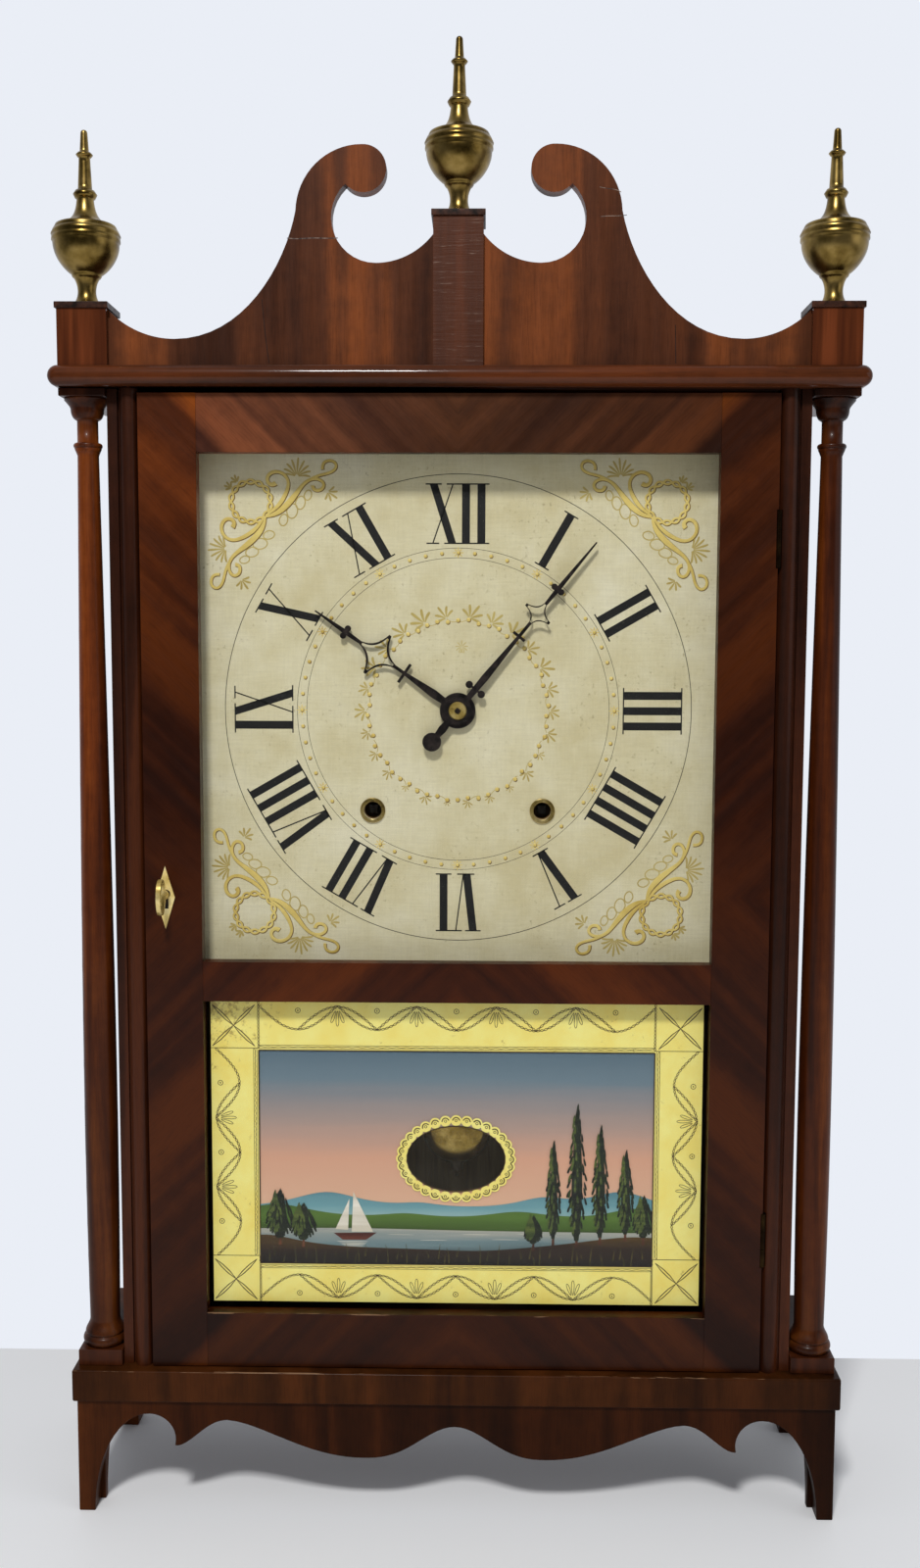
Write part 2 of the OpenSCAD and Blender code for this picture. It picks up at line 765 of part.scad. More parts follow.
module door_hinge_leaves() {
    color(brass) difference() {
        union() {
            hinge_leaf_plates(-1);
            for (z = hinge_zs) {
                knuckle(z - knuckle_l / 2 + knuckle_gap / 4);
                knuckle_neck(-1, z - knuckle_l / 2 + knuckle_gap / 4);
            }
        }
        pin_hole(pin_r + run_gap);
    }
}

module hinge_pins() {
    color(brass) for (z = hinge_zs)
        translate([hinge_x, hinge_y, z - hinge_l / 2]) cylinder(r = pin_r, h = hinge_l);
}

// Lock on the left stile: escutcheon, lock case, bolt and key
module escutcheon() {
    w = escutcheon_w / 2;
    h = escutcheon_h / 2;
    drop = 2;
    color(brass) difference() {
        translate([key_axis_x, 0, key_axis_z - drop])
            along_y(door_front - escutcheon_t, door_front)
                polygon([[w, 0], [0, h], [-w, 0], [0, -h]]);
        keyhole(door_front - escutcheon_t - over, door_front + over);
    }
}

wall = 1.4;
chamber_r = bit_r + 2 * hole_gap;
module lock_case() {
    back = door_back - wall;
    color(iron) difference() {
        slab([lock_x, door_back - lock_t, lock_z], [lock_x + lock_w, door_back, lock_z + lock_h]);
        bar_y(key_axis_x, key_axis_z, chamber_r, door_back - lock_t + wall, back);
        keyhole(door_back - lock_t - over, back);
        slab([lock_x - over, bolt_y - bolt_gap, bolt_z - bolt_gap],
            [lock_x + lock_w - wall, bolt_y + bolt_t + bolt_gap, bolt_z + bolt_h + bolt_gap]);
    }
}

// The notch lets the turning bit pass below the bolt's upper edge
module lock_bolt() {
    notch = [-4, 10];
    color(brass) difference() {
        slab([-door_w / 2 + 0.2, bolt_y, bolt_z], [lock_x + lock_w - wall - bolt_gap,
            bolt_y + bolt_t, bolt_z + bolt_h]);
        slab([key_axis_x + notch[0], bolt_y - over, bolt_z - over],
            [key_axis_x + notch[1], bolt_y + bolt_t + over, key_axis_z + bit_r + hole_gap]);
    }
}

module door_key() {
    bow_l = 14;
    bow_t = 2.4;
    bow_y = door_front - key_out + bow_l / 2;
    ring = 2.6;
    bit_t = 1.6;
    color(brass) union() {
        bar_y(key_axis_x, key_axis_z, shank_r, bow_y + bow_l / 2 - ring,
            door_back - wall - hole_gap);
        slab([key_axis_x - bit_t / 2, bolt_y + bolt_gap, key_axis_z - bit_r],
            [key_axis_x + bit_t / 2, bolt_y + bolt_t - bolt_gap, key_axis_z]);
        translate([key_axis_x - bow_t / 2, bow_y, key_axis_z]) rotate([90, 0, 90])
            linear_extrude(bow_t) difference() {
                polygon(arc_points([0, 0], bow_l / 2, bow_h / 2, 0, 360));
                polygon(arc_points([0, 0], bow_l / 2 - ring, bow_h / 2 - ring, 0, 360));
            }
        bar_y(key_axis_x, key_axis_z, shank_r + 1, bow_y + bow_l / 2, bow_y + bow_l / 2 + 1.6);
    }
}

// Painted dial board, as wide as the space between the case sides
dial_y = base_front + dial_set;
dial_back = dial_y + dial_t;
wind_z = dial_z - wind_drop;
pipe_hole_r = 5;
grommet_t = 1;
module dial_board() {
    color("#d8d0b4") difference() {
        slab([-case_w / 2, dial_y, dial_open_z - dial_lap],
            [case_w / 2, dial_back, dial_open_top + dial_lap]);
        bar_y(0, dial_z, pipe_hole_r, dial_y - over, dial_back + over);
        for (s = [-1, 1])
            bar_y(s * wind_x, wind_z, wind_hole_d / 2, dial_y - over, dial_back + over);
    }
}

module winding_grommets() {
    for (s = [-1, 1])
        color(brass) difference() {
            bar_y(s * wind_x, wind_z, grommet_d / 2, dial_y - grommet_t, dial_y);
            bar_y(s * wind_x, wind_z, wind_hole_d / 2, dial_y - grommet_t - over, dial_y + over);
        }
}

// Outline of a toothed wheel or pinion with involute flanks
tooth_angle = 30;
tooth_play = 0.14;
tip_share = 0.8;
root_share = 1;
flank_n = 3;
function involute(a) = tan(a) * 180 / PI - a;
function gear_points(teeth, m, turn) = let (
        r = teeth * m / 2,
        rb = r * cos(tooth_angle),
        tip = r + tip_share * m,
        root = r - root_share * m,
        half = 90 / teeth - tooth_play / r * 180 / PI / 2,
        low = max(rb, root),
        flank = [for (i = [0:flank_n]) let (q = low + (tip - low) * i / flank_n,
            a = acos(min(1, rb / q))) [q, half + involute(tooth_angle) - involute(a)]],
        foot = [root, flank[0][1]])
    [for (k = [0:teeth - 1], side = [-1, 1], i = [0:flank_n + 1])
        let (j = side < 0 ? i : flank_n + 1 - i,
            p = j == 0 ? foot : flank[j - 1],
            a = turn + 360 * k / teeth + side * p[1])
        p[0] * [cos(a), sin(a)]];

module gear_y(c, teeth, m, turn, y0, y1) {
    translate([c[0], 0, c[1]]) along_y(y0, y1) polygon(gear_points(teeth, m, turn));
}

// Places of the time train's arbors; the strike train mirrors the first two
train_cd = (wheel_teeth + pinion_leaves) * train_module / 2;
first_lean = 93.7;
second_lean = 116.3;
drum_c = [wind_x, wind_z];
second_c = polar(drum_c, train_cd, first_lean);
third_c = polar(second_c, train_cd, second_lean);
escape_c = [0, third_c[1] + sqrt(train_cd * train_cd - third_c[0] * third_c[0])];
third_lean = atan2(escape_c[1] - third_c[1], escape_c[0] - third_c[0]);
verge_c = [0, escape_c[1] + verge_rise];
plate_back = front_plate_y + plate_t;
layer_a = [plate_back + 2, plate_back + 6];
layer_b = [plate_back + 8, plate_back + 13];
layer_c = [plate_back + 15, plate_back + 19];
wheel_gap = 0.3;
end_play = 0.4;
hammer_x = 6;
hammer_drop = 91;
hammer_c = [-hammer_x, dial_z - hammer_drop];
post_x = plate_w / 2 - 8;
post_zs = [dial_z - plate_down + 8, dial_z + plate_up - 8];
stud_c = polar([0, dial_z], 20 * motion_module, 45);
stud_r = 1.2;
pinhole_r = arbor_r + run_gap;

// Oak plates, bored for the arbors
module plate(y0, holes) {
    color(oak) difference() {
        slab([-plate_w / 2, y0, dial_z - plate_down],
            [plate_w / 2, y0 + plate_t, dial_z + plate_up]);
        for (s = [-1, 1]) {
            bar_y(s * drum_c[0], drum_c[1], wind_arbor_r + run_gap, y0 - over, y0 + plate_t + over);
            bar_y(s * second_c[0], second_c[1], pinhole_r, y0 - over, y0 + plate_t + over);
        }
        for (c = holes) bar_y(c[0], c[1], pinhole_r, y0 - over, y0 + plate_t + over);
    }
}

module front_plate() {
    difference() {
        plate(front_plate_y, [third_c, escape_c, verge_c, hammer_c, [0, dial_z]]);
        bar_y(stud_c[0], stud_c[1], stud_r + run_gap, front_plate_y - over, plate_back + over);
    }
}

module back_plate() {
    plate(back_plate_y, [third_c, escape_c, verge_c, hammer_c]);
}

module plate_posts() {
    for (s = [-1, 1], z = post_zs) color(oak) bar_y(s * post_x, z, post_r, plate_back, back_plate_y);
}

// Rails on the back board that hold the movement
rail_w = 16;
module movement_rails() {
    for (s = [-1, 1])
        color(pine) slab([s * post_x - rail_w / 2, back_plate_y + plate_t,
            dial_z - plate_down - 12], [s * post_x + rail_w / 2, back_front,
            dial_z + plate_up + 12]);
}

// Bracket on the front plate whose pin carries the pendulum
rod_y = front_plate_y - 4.8;
hang_r = 1;
eye_outer = 3;
module suspension_cock() {
    w = 10;
    arm_y = rod_y - 4.6;
    arm_t = 2.5;
    foot_z = verge_c[1] + 9;
    color(brass) union() {
        slab([-w / 2, arm_y, foot_z], [w / 2, front_plate_y, foot_z + 10]);
        slab([-w / 2, arm_y, verge_c[1] - 4], [w / 2, arm_y + arm_t, foot_z]);
        bar_y(0, verge_c[1], hang_r, arm_y, rod_y + 1.6);
    }
}

// Cast bell on a stud from the back board
bell_c = [0, dial_z - bell_drop];
bell_front = plate_back + 14;
module bell() {
    depth = 20;
    wall = 2.4;
    stud = 2.5;
    r = bell_r;
    color("#b09a5a") turned_y(bell_c[0], bell_c[1], concat(
        [[0, bell_front]],
        arc_points([0, bell_front + depth], r, depth, -90, 0),
        [[r, bell_front + depth + 2], [r - wall, bell_front + depth + 2]],
        arc_points([0, bell_front + depth], r - wall, depth - wall, 0, -80),
        [[stud, bell_front + wall + 1], [stud, back_front], [0, back_front]]));
}

// Drum with its winding arbor; the square end stands just behind the dial
square_w = 4.4;
drum_front = layer_b[1] + 1;
drum_end = back_plate_y - 2;
flange_t = 2;
flange_r = drum_r + 2.5;
module drum(s) {
    x = s * drum_c[0];
    z = drum_c[1];
    color(cherry) union() {
        bar_y(x, z, wind_arbor_r, front_plate_y - 2, back_plate_y + plate_t - end_play);
        translate([x - square_w / 2, dial_back - 1, z - square_w / 2])
            cube([square_w, front_plate_y - 1 - dial_back, square_w]);
        bar_y(x, z, drum_r, drum_front, drum_end);
        bar_y(x, z, flange_r, drum_front, drum_front + flange_t);
        bar_y(x, z, flange_r, drum_end - flange_t, drum_end);
    }
}

module time_drum() {
    drum(1);
}

module strike_drum() {
    drum(-1);
}

// Lean of the line from a strike arbor to the next, mirrored from the time side
function lean(s, a) = s > 0 ? a : 180 - a;
function side(s, c) = [s * c[0], c[1]];

// A spoked-out wooden wheel, thinned by round holes between rim and hub
module train_wheel(c, turn, y, bore) {
    r = wheel_teeth * train_module / 2;
    hole_r = 6.5;
    holes = 6;
    difference() {
        gear_y(c, wheel_teeth, train_module, turn, y[0], y[1]);
        for (k = [0:holes - 1]) let (p = polar(c, r * 0.55, turn + (k + 0.5) * 360 / holes))
            bar_y(p[0], p[1], hole_r, y[0] - over, y[1] + over);
        if (bore > 0) bar_y(c[0], c[1], bore, y[0] - over, y[1] + over);
    }
}

module great_wheel(s) {
    color(cherry) train_wheel(side(s, drum_c), lean(s, first_lean), layer_b,
        wind_arbor_r + run_gap);
}

module time_great_wheel() {
    great_wheel(1);
}

module strike_great_wheel() {
    great_wheel(-1);
}

// Arbor between the plates with its pinion
half_leaf = 180 / pinion_leaves;
module arbor(c, y0, y1) {
    bar_y(c[0], c[1], arbor_r, y0, y1);
}

module pinion(c, from, layer) {
    gear_y(c, pinion_leaves, train_module, from + 180 + half_leaf, layer[0] - wheel_gap,
        layer[1] + wheel_gap);
}

module time_second_wheel() {
    color(cherry) union() {
        train_wheel(second_c, second_lean, layer_a, 0);
        pinion(second_c, first_lean, layer_b);
        arbor(second_c, front_plate_y + end_play, back_plate_y + plate_t - end_play);
    }
}

module time_third_wheel() {
    color(cherry) union() {
        train_wheel(third_c, third_lean, layer_c, 0);
        pinion(third_c, second_lean, layer_a);
        arbor(third_c, front_plate_y + end_play, back_plate_y + plate_t - end_play);
    }
}

// Escape wheel with raked points
escape_teeth = 42;
escape_depth = 3.4;
escape_t = 3;
module escape_wheel() {
    rake = 0.3;
    color(cherry) union() {
        translate([escape_c[0], 0, escape_c[1]]) along_y(layer_a[0], layer_a[0] + escape_t)
            polygon([for (k = [0:escape_teeth - 1], p = [0, 1]) polar([0, 0],
                escape_r - p * escape_depth, (k + p * rake) * 360 / escape_teeth)]);
        pinion(escape_c, third_lean, layer_c);
        arbor(escape_c, front_plate_y + end_play, back_plate_y + plate_t - end_play);
    }
}

// Verge: two pallets over the escape wheel, and a crutch in front of the plate
swing = 3.5;
pallet_angle = 55;
pallet_gap = 0.35;
crutch_l = 40;
module verge() {
    reach = escape_r + pallet_gap + 1.3;
    band = 3;
    fork_gap = 0.35;
    crutch_t = 1.4;
    crutch_y = front_plate_y - 0.4 - crutch_t;
    c = verge_c;
    color(iron) union() {
        arbor(c, crutch_y, back_plate_y + plate_t - end_play);
        translate([escape_c[0], 0, escape_c[1]]) along_y(layer_a[0], layer_a[0] + escape_t)
            polygon(concat(arc_points([0, 0], reach + band, reach + band, 90 - pallet_angle,
                90 + pallet_angle), arc_points([0, 0], reach, reach, 90 + pallet_angle,
                90 - pallet_angle)));
        translate([c[0], 0, c[1]]) along_y(layer_a[0], layer_a[0] + escape_t)
            polygon([[-3, 3], [3, 3], [3, reach - verge_rise + 1], [-3, reach - verge_rise + 1]]);
        slab([-1.5, crutch_y, c[1] - crutch_l], [1.5, crutch_y + crutch_t, c[1] + 3]);
        for (s = [-1, 1])
            translate([s * (rod_r + fork_gap + 0.6) - 0.6, rod_y - 1, c[1] - crutch_l])
                cube([1.2, crutch_y + crutch_t - rod_y + 1, 2.4]);
        slab([-rod_r - fork_gap - 1.2, crutch_y, c[1] - crutch_l],
            [rod_r + fork_gap + 1.2, crutch_y + crutch_t, c[1] - crutch_l + 2.4]);
    }
}

// Pendulum: wire rod with a loop round the hands' arbor, a bob and its nut
bob_z = verge_c[1] - pendulum_l;
bob_hole = rod_r + run_gap;
nut_h = 4;
module pendulum_rod() {
    loop_c = loop_r + rod_r;
    foot_z = bob_z - bob_r - nut_h - 4;
    color(brass) difference() {
        union() {
            bar_y(0, verge_c[1], eye_outer, rod_y - 1.3, rod_y + 1.3);
            translate([0, rod_y, dial_z + loop_c])
                cylinder(r = rod_r, h = verge_c[1] - hang_r - 0.6 - dial_z - loop_c);
            translate([0, rod_y, dial_z]) rotate([90, 0, 0]) rotate_extrude()
                translate([loop_c, 0]) circle(r = rod_r);
            translate([0, rod_y, foot_z]) cylinder(r = rod_r, h = dial_z - loop_c - foot_z);
        }
        bar_y(0, verge_c[1], hang_r + run_gap, rod_y - 3, rod_y + 3);
    }
}

module pendulum_bob() {
    rim = 1.6;
    face = bob_t / 2;
    color(brass) union() {
        difference() {
            turned_y(0, bob_z, concat([[0, rod_y - face]],
                curve_points([0, rod_y - face], [bob_r * 0.6, rod_y - face],
                    [bob_r, rod_y - rim - 1.4], [bob_r, rod_y - rim / 2]),
                [[bob_r, rod_y + face - 1], [0, rod_y + face - 1]]));
            translate([0, rod_y, bob_z - bob_r - over])
                cylinder(r = bob_hole, h = 2 * bob_r + 2 * over);
        }
        translate([0, rod_y, bob_z - bob_r - nut_h]) difference() {
            cylinder(r = 3.6, h = nut_h + 1.2, $fn = 6);
            translate([0, 0, -over]) cylinder(r = bob_hole, h = nut_h + 2 * over + 1.2);
        }
    }
}

// Motion work: cannon pinion, minute wheel and hour wheel give twelve to one
cannon_leaves = 10;
minute_teeth = 30;
minute_leaves = 8;
hour_teeth = 32;
stud_angle = 45;
motion_back = dial_back + 5.6;
motion_mid = dial_back + 3.2;
motion_front = dial_back + 0.8;
cannon_r = 2.5;
pipe_r = 3.6;
hour_hand_y = dial_y - 2.2;
minute_hand_y = hour_hand_y - 2.8;
module centre_arbor() {
    color(iron) union() {
        bar_y(0, dial_z, arbor_r, minute_hand_y - 1.6, plate_back + 1.4);
        bar_y(0, dial_z, cannon_r, minute_hand_y + hand_t, front_plate_y - end_play);
        gear_y([0, dial_z], cannon_leaves, motion_module, stud_angle, motion_mid + wheel_gap,
            motion_back);
        bar_y(0, dial_z, arbor_r + 1, plate_back + end_play, plate_back + 1.4);
    }
}

module minute_wheel() {
    turn = stud_angle + 180;
    color(brass) union() {
        gear_y(stud_c, minute_teeth, motion_module, turn + 180 / minute_teeth,
            motion_mid + wheel_gap, motion_back);
        gear_y(stud_c, minute_leaves, motion_module, turn, motion_front, motion_mid + wheel_gap);
        bar_y(stud_c[0], stud_c[1], stud_r, motion_front, plate_back - end_play);
    }
}

module hour_wheel() {
    color(brass) difference() {
        union() {
            gear_y([0, dial_z], hour_teeth, motion_module, stud_angle + 180 / hour_teeth,
                motion_front, motion_mid);
            bar_y(0, dial_z, pipe_r, hour_hand_y, motion_mid);
        }
        bar_y(0, dial_z, cannon_r + run_gap, hour_hand_y - over, motion_mid + over);
    }
}

// Pierced hands, drawn pointing at twelve: stem, cross bar, open star, ball pair and point
star_bore = 0.82;
star_tip = 0.7;
function star_side(mid, end, half) = let (d = end - mid)
    curve_points([star_tip, end], [half * 0.14, mid + 0.46 * d], [half * 0.46, mid + 0.18 * d],
        [half, mid + star_tip * sign(d)]);
function star_half(low, mid, top, half) = let (up = star_side(mid, top, half), n = len(up) - 1)
    concat(star_side(mid, low, half), [for (i = [n:-1:0]) up[i]]);

// Outline of the star; share 1 is its rim and star_bore its hole
module star(low, mid, top, half, share) {
    right = [for (p = star_half(low, mid, top, half)) [p[0] * share, mid + (p[1] - mid) * share]];
    polygon(concat(right, flip_x(right)));
}

module hand_shape(l, balls, top, mid, low, bar, half, boss, swell) {
    stem = 1.3;
    point = 0.9;
    needle = 0.4;
    lap = 0.8;
    ball_r = 1.7;
    difference() {
        star(low, mid, top, half, 1);
        star(low, mid, top, half, star_bore);
    }
    polygon([[stem, 0], [swell, bar * 0.45], [point, bar], [point, low + lap],
        [-point, low + lap], [-point, bar], [-swell, bar * 0.45], [-stem, 0]]);
    polygon([[point, top - lap], [stem, balls], [needle, l], [-needle, l], [-stem, balls],
        [-point, top - lap]]);
    for (x = [-1, 1]) translate([x * 2.3, balls]) circle(r = ball_r);
    translate([-half / 2.1, bar - 0.8]) square([half / 1.05, 1.6]);
    circle(r = boss);
}

// Minute hand with its tail, leaf and counterpoise
minute_boss = 7.6;
tail_l = 22;
module minute_hand() {
    ball_x = 4.2;
    color("#1c1c1e") translate([0, 0, dial_z]) rotate([0, minute_angle, 0])
        along_y(minute_hand_y, minute_hand_y + hand_t) difference() {
            union() {
                hand_shape(minute_l, 84.5, 75.5, 67.6, 60.5, 52, 8.2, minute_boss, 2);
                polygon([[-1, 0], [-2.3, -13], [-1, -tail_l], [1, -tail_l], [2.3, -13], [1, 0]]);
                translate([0, -tail_l]) circle(r = 5.1);
                for (x = [-1, 1]) translate([x * ball_x, 15]) circle(r = 2);
                translate([-ball_x, 14.4]) square([2 * ball_x, 1.2]);
            }
            circle(r = arbor_r);
        }
}

hour_boss = 9.7;
module hour_hand() {
    color("#1c1c1e") translate([0, 0, dial_z]) rotate([0, hour_angle, 0])
        along_y(hour_hand_y - hand_t, hour_hand_y) difference() {
            union() hand_shape(hour_l, 74, 65.5, 53, 40.5, 35.2, 12.4, hour_boss, 2.3);
            circle(r = cannon_r + run_gap);
        }
}

// Strike pin wheel and the hammer it lifts
pin_n = 8;
pin_ring = 25;
module strike_pin_wheel() {
    c = side(-1, second_c);
    color(cherry) union() {
        train_wheel(c, 0, layer_a, 0);
        pinion(c, lean(-1, first_lean), layer_b);
        arbor(c, front_plate_y + end_play, back_plate_y + plate_t - end_play);
        for (k = [0:pin_n - 1]) let (p = polar(c, pin_ring, (k + 0.5) * 360 / pin_n))
            bar_y(p[0], p[1], 1, layer_a[1] - 1, layer_b[0] - wheel_gap);
    }
}

hammer_set = 18;
hammer_y = bell_front + hammer_set;
module strike_hammer() {
    head_r = 5;
    head_l = 12;
    stem_r = 1.2;
    bell_clear = 0.6;
    head_c = [-bell_r - bell_clear - head_r, bell_c[1]];
    span = head_c - hammer_c;
    l = norm(span);
    color(iron) union() {
        arbor(hammer_c, front_plate_y + end_play, back_plate_y + plate_t - end_play);
        translate([hammer_c[0], hammer_y, hammer_c[1]])
            rotate([0, atan2(span[0], span[1]), 0]) cylinder(r = stem_r, h = l);
        bar_y(head_c[0], head_c[1], head_r, hammer_y - head_l / 2, hammer_y + head_l / 2);
    }
}

// Weights with a wire eye on top
eye_wire = 1.5;
weight_eye = 5;
weight_z = deck_z + weight_rest;
weight_top = weight_z + weight_h;
eye_drop = 0.5;
tie_gap = 0.05;
fall_foot = weight_top - eye_drop + 2 * weight_eye + eye_wire + tie_gap;
module weight(s) {
    color(iron) translate([s * weight_x, cord_y, weight_z]) union() {
        rotate_extrude() polygon([[0, 0], [weight_r - 2, 0], [weight_r, 2],
            [weight_r, weight_h - 6], [weight_r - 6, weight_h], [0, weight_h]]);
        translate([0, 0, weight_h + weight_eye - eye_drop]) rotate([90, 0, 0]) rotate_extrude()
            translate([weight_eye, 0]) circle(r = eye_wire);
    }
}

module time_weight() {
    weight(1);
}

module strike_weight() {
    weight(-1);
}

// Cord from the drum over the pulley down to the weight
lay_gap = 0.3;
lay_r = drum_r + cord_r + lay_gap;
// The straight stretches stop this far inside a slightly larger round at each bend
bend_gap = 0.1;
module cord(s) {
    p = [pulley_x, pulley_z];
    span = p - drum_c;
    d = norm(span);
    heading = atan2(span[1], span[0]);
    cross = lay_r + pulley_r;
    turn_off = asin(cross / d);
    run_l = sqrt(d * d - cross * cross);
    leave = heading - 90 + turn_off;
    join = leave + 180;
    from = polar(drum_c, lay_r, leave);
    bends = [from, polar(p, pulley_r, join), [weight_x, pulley_z]];
    color("#c9b48a") mirror([s > 0 ? 0 : 1, 0, 0]) union() {
        translate([drum_c[0], cord_y, drum_c[1]]) rotate([90, 0, 0])
            rotate([0, 0, leave - 180]) rotate_extrude(angle = 180)
                translate([lay_r, 0]) circle(r = cord_r);
        translate([from[0], cord_y, from[1]]) rotate([0, -leave, 0])
            translate([0, 0, bend_gap]) cylinder(r = cord_r, h = run_l - 2 * bend_gap);
        translate([p[0], cord_y, p[1]]) rotate([90, 0, 0])
            rotate_extrude(angle = join) translate([pulley_r, 0]) circle(r = cord_r);
        translate([weight_x, cord_y, fall_foot])
            cylinder(r = cord_r, h = pulley_z - fall_foot - bend_gap);
        for (c = bends) translate([c[0], cord_y, c[1]]) sphere(r = cord_r + bend_gap);
    }
}

module time_cord() {
    cord(1);
}

module strike_cord() {
    cord(-1);
}

// Grooved pulley turned in one with its axle
module pulley(s) {
    groove = pulley_r - cord_r - lay_gap;
    half = pulley_t / 2;
    axle = pulley_axle_l / 2;
    color(cherry) turned_y(s * pulley_x, pulley_z, [[0, cord_y - axle],
        [pulley_axle_r, cord_y - axle], [pulley_axle_r, cord_y - half],
        [pulley_rim, cord_y - half], [pulley_rim, cord_y - half + 0.8], [groove, cord_y - 1.4],
        [groove, cord_y + 1.4], [pulley_rim, cord_y + half - 0.8], [pulley_rim, cord_y + half],
        [pulley_axle_r, cord_y + half], [pulley_axle_r, cord_y + axle], [0, cord_y + axle]]);
}

module time_pulley() {
    pulley(1);
}

module strike_pulley() {
    pulley(-1);
}

base_board();
front_skirt();
side_skirts();
left_side();
right_side();
back_board();
cornice_board();
scroll_board();
finial_blocks();
block_caps();
corner_finials();
middle_finial();
left_pillar();
right_pillar();
pillar_blocks();
dial_board();
winding_grommets();
case_hinge_leaves();
hinge_pins();
lock_stile();
hinge_stile();
top_rail();
middle_rail();
bottom_rail();
dial_glass();
tablet_glass();
door_hinge_leaves();
escutcheon();
lock_case();
door_key();
lock_bolt();
front_plate();
back_plate();
plate_posts();
movement_rails();
suspension_cock();
bell();
time_drum();
time_great_wheel();
time_second_wheel();
time_third_wheel();
escape_wheel();
verge();
pendulum_rod();
pendulum_bob();
centre_arbor();
minute_hand();
minute_wheel();
hour_wheel();
hour_hand();
strike_drum();
strike_great_wheel();
strike_pin_wheel();
strike_hammer();
time_weight();
strike_weight();
time_cord();
strike_cord();
time_pulley();
strike_pulley();
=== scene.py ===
from functools import partial
from math import asin, atan2, cos, pi, radians, sin, tau

import bmesh
import bpy
from mathutils import Matrix, Vector


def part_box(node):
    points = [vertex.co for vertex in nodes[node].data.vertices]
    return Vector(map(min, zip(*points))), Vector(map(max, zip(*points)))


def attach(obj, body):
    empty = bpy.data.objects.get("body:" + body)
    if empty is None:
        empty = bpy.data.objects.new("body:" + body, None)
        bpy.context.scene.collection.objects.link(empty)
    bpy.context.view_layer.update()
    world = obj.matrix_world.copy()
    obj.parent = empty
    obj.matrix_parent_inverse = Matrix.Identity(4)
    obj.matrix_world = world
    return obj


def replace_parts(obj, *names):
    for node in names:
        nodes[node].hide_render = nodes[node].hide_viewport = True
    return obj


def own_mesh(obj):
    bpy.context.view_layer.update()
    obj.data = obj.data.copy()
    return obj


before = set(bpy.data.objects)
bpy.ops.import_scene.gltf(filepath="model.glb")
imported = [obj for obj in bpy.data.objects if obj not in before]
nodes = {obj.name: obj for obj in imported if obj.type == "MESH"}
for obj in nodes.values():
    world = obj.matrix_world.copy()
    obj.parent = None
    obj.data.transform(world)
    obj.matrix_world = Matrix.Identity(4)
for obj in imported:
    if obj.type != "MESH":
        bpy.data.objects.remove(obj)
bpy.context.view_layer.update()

# Base: a thick mahogany board on a scalloped front skirt and two side skirts.
# Crossbanded veneer on the board and skirt has its figure running up and down.
# Years of dusting have worn the polish off the board's upper front edge.


def srgb(code):
    """A hex colour as linear red, green, blue and alpha."""
    parts = [int(code[i:i + 2], 16) / 255 for i in (1, 3, 5)]
    return [c / 12.92 if c <= 0.04045 else ((c + 0.055) / 1.055) ** 2.4 for c in parts] + [1.0]


def join(node, *values, **named):
    """Gives a node's open inputs, in order or by name, values, hex colours or other nodes."""
    ready = [socket for socket in node.inputs if socket.enabled]
    pairs = list(zip(ready, values))
    for name, value in named.items():
        pairs.append((next(s for s in ready if s.name == name.replace("_", " ")), value))
    for socket, value in pairs:
        if isinstance(value, bpy.types.Node):
            value = next(out for out in value.outputs if out.enabled)
        if isinstance(value, bpy.types.NodeSocket):
            node.id_data.links.new(value, socket)
        else:
            socket.default_value = srgb(value) if isinstance(value, str) else value


def add_node(tree, kind, *values, stops=None, **named):
    """A new node. Names with a capital are its inputs, the rest its settings.

    Stops are the places and hex colours of a colour ramp.
    """
    made = tree.nodes.new("ShaderNode" + kind)
    for name in [n for n in named if n[0].islower()]:
        setattr(made, name, named.pop(name))
    if stops:
        band = made.color_ramp.elements
        for end, (place, code) in ((band[0], stops[0]), (band[1], stops[-1])):
            end.position, end.color = place, srgb(code)
        for place, code in stops[1:-1]:
            band.new(place).color = srgb(code)
    join(made, *values, **named)
    return made


def finish(name):
    """A new material, what adds its nodes, its shader and the piece's own coordinates."""
    made = bpy.data.materials.new(name)
    made.use_nodes = True
    add = partial(add_node, made.node_tree)
    return made, add, made.node_tree.nodes["Principled BSDF"], add("TexCoord").outputs["Object"]


def stretched(add, place, along):
    """Coordinates pulled out along the grain, so that noise on them makes streaks."""
    if along == "door":
        return diamond_figure(add, place)
    pull = 0.055
    return add("Mapping", Vector=place, Scale=[pull if axis == along else 1.0 for axis in "xyz"])


# Widths of the streaks, mottling and pores in mahogany and of the flecks along a worn edge, in
# millimetres. Real pores are finer, and are drawn this coarse so that they show.
streak_w, mottle_w, pore_w, fleck_w = 3.6, 9.0, 0.7, 1.6


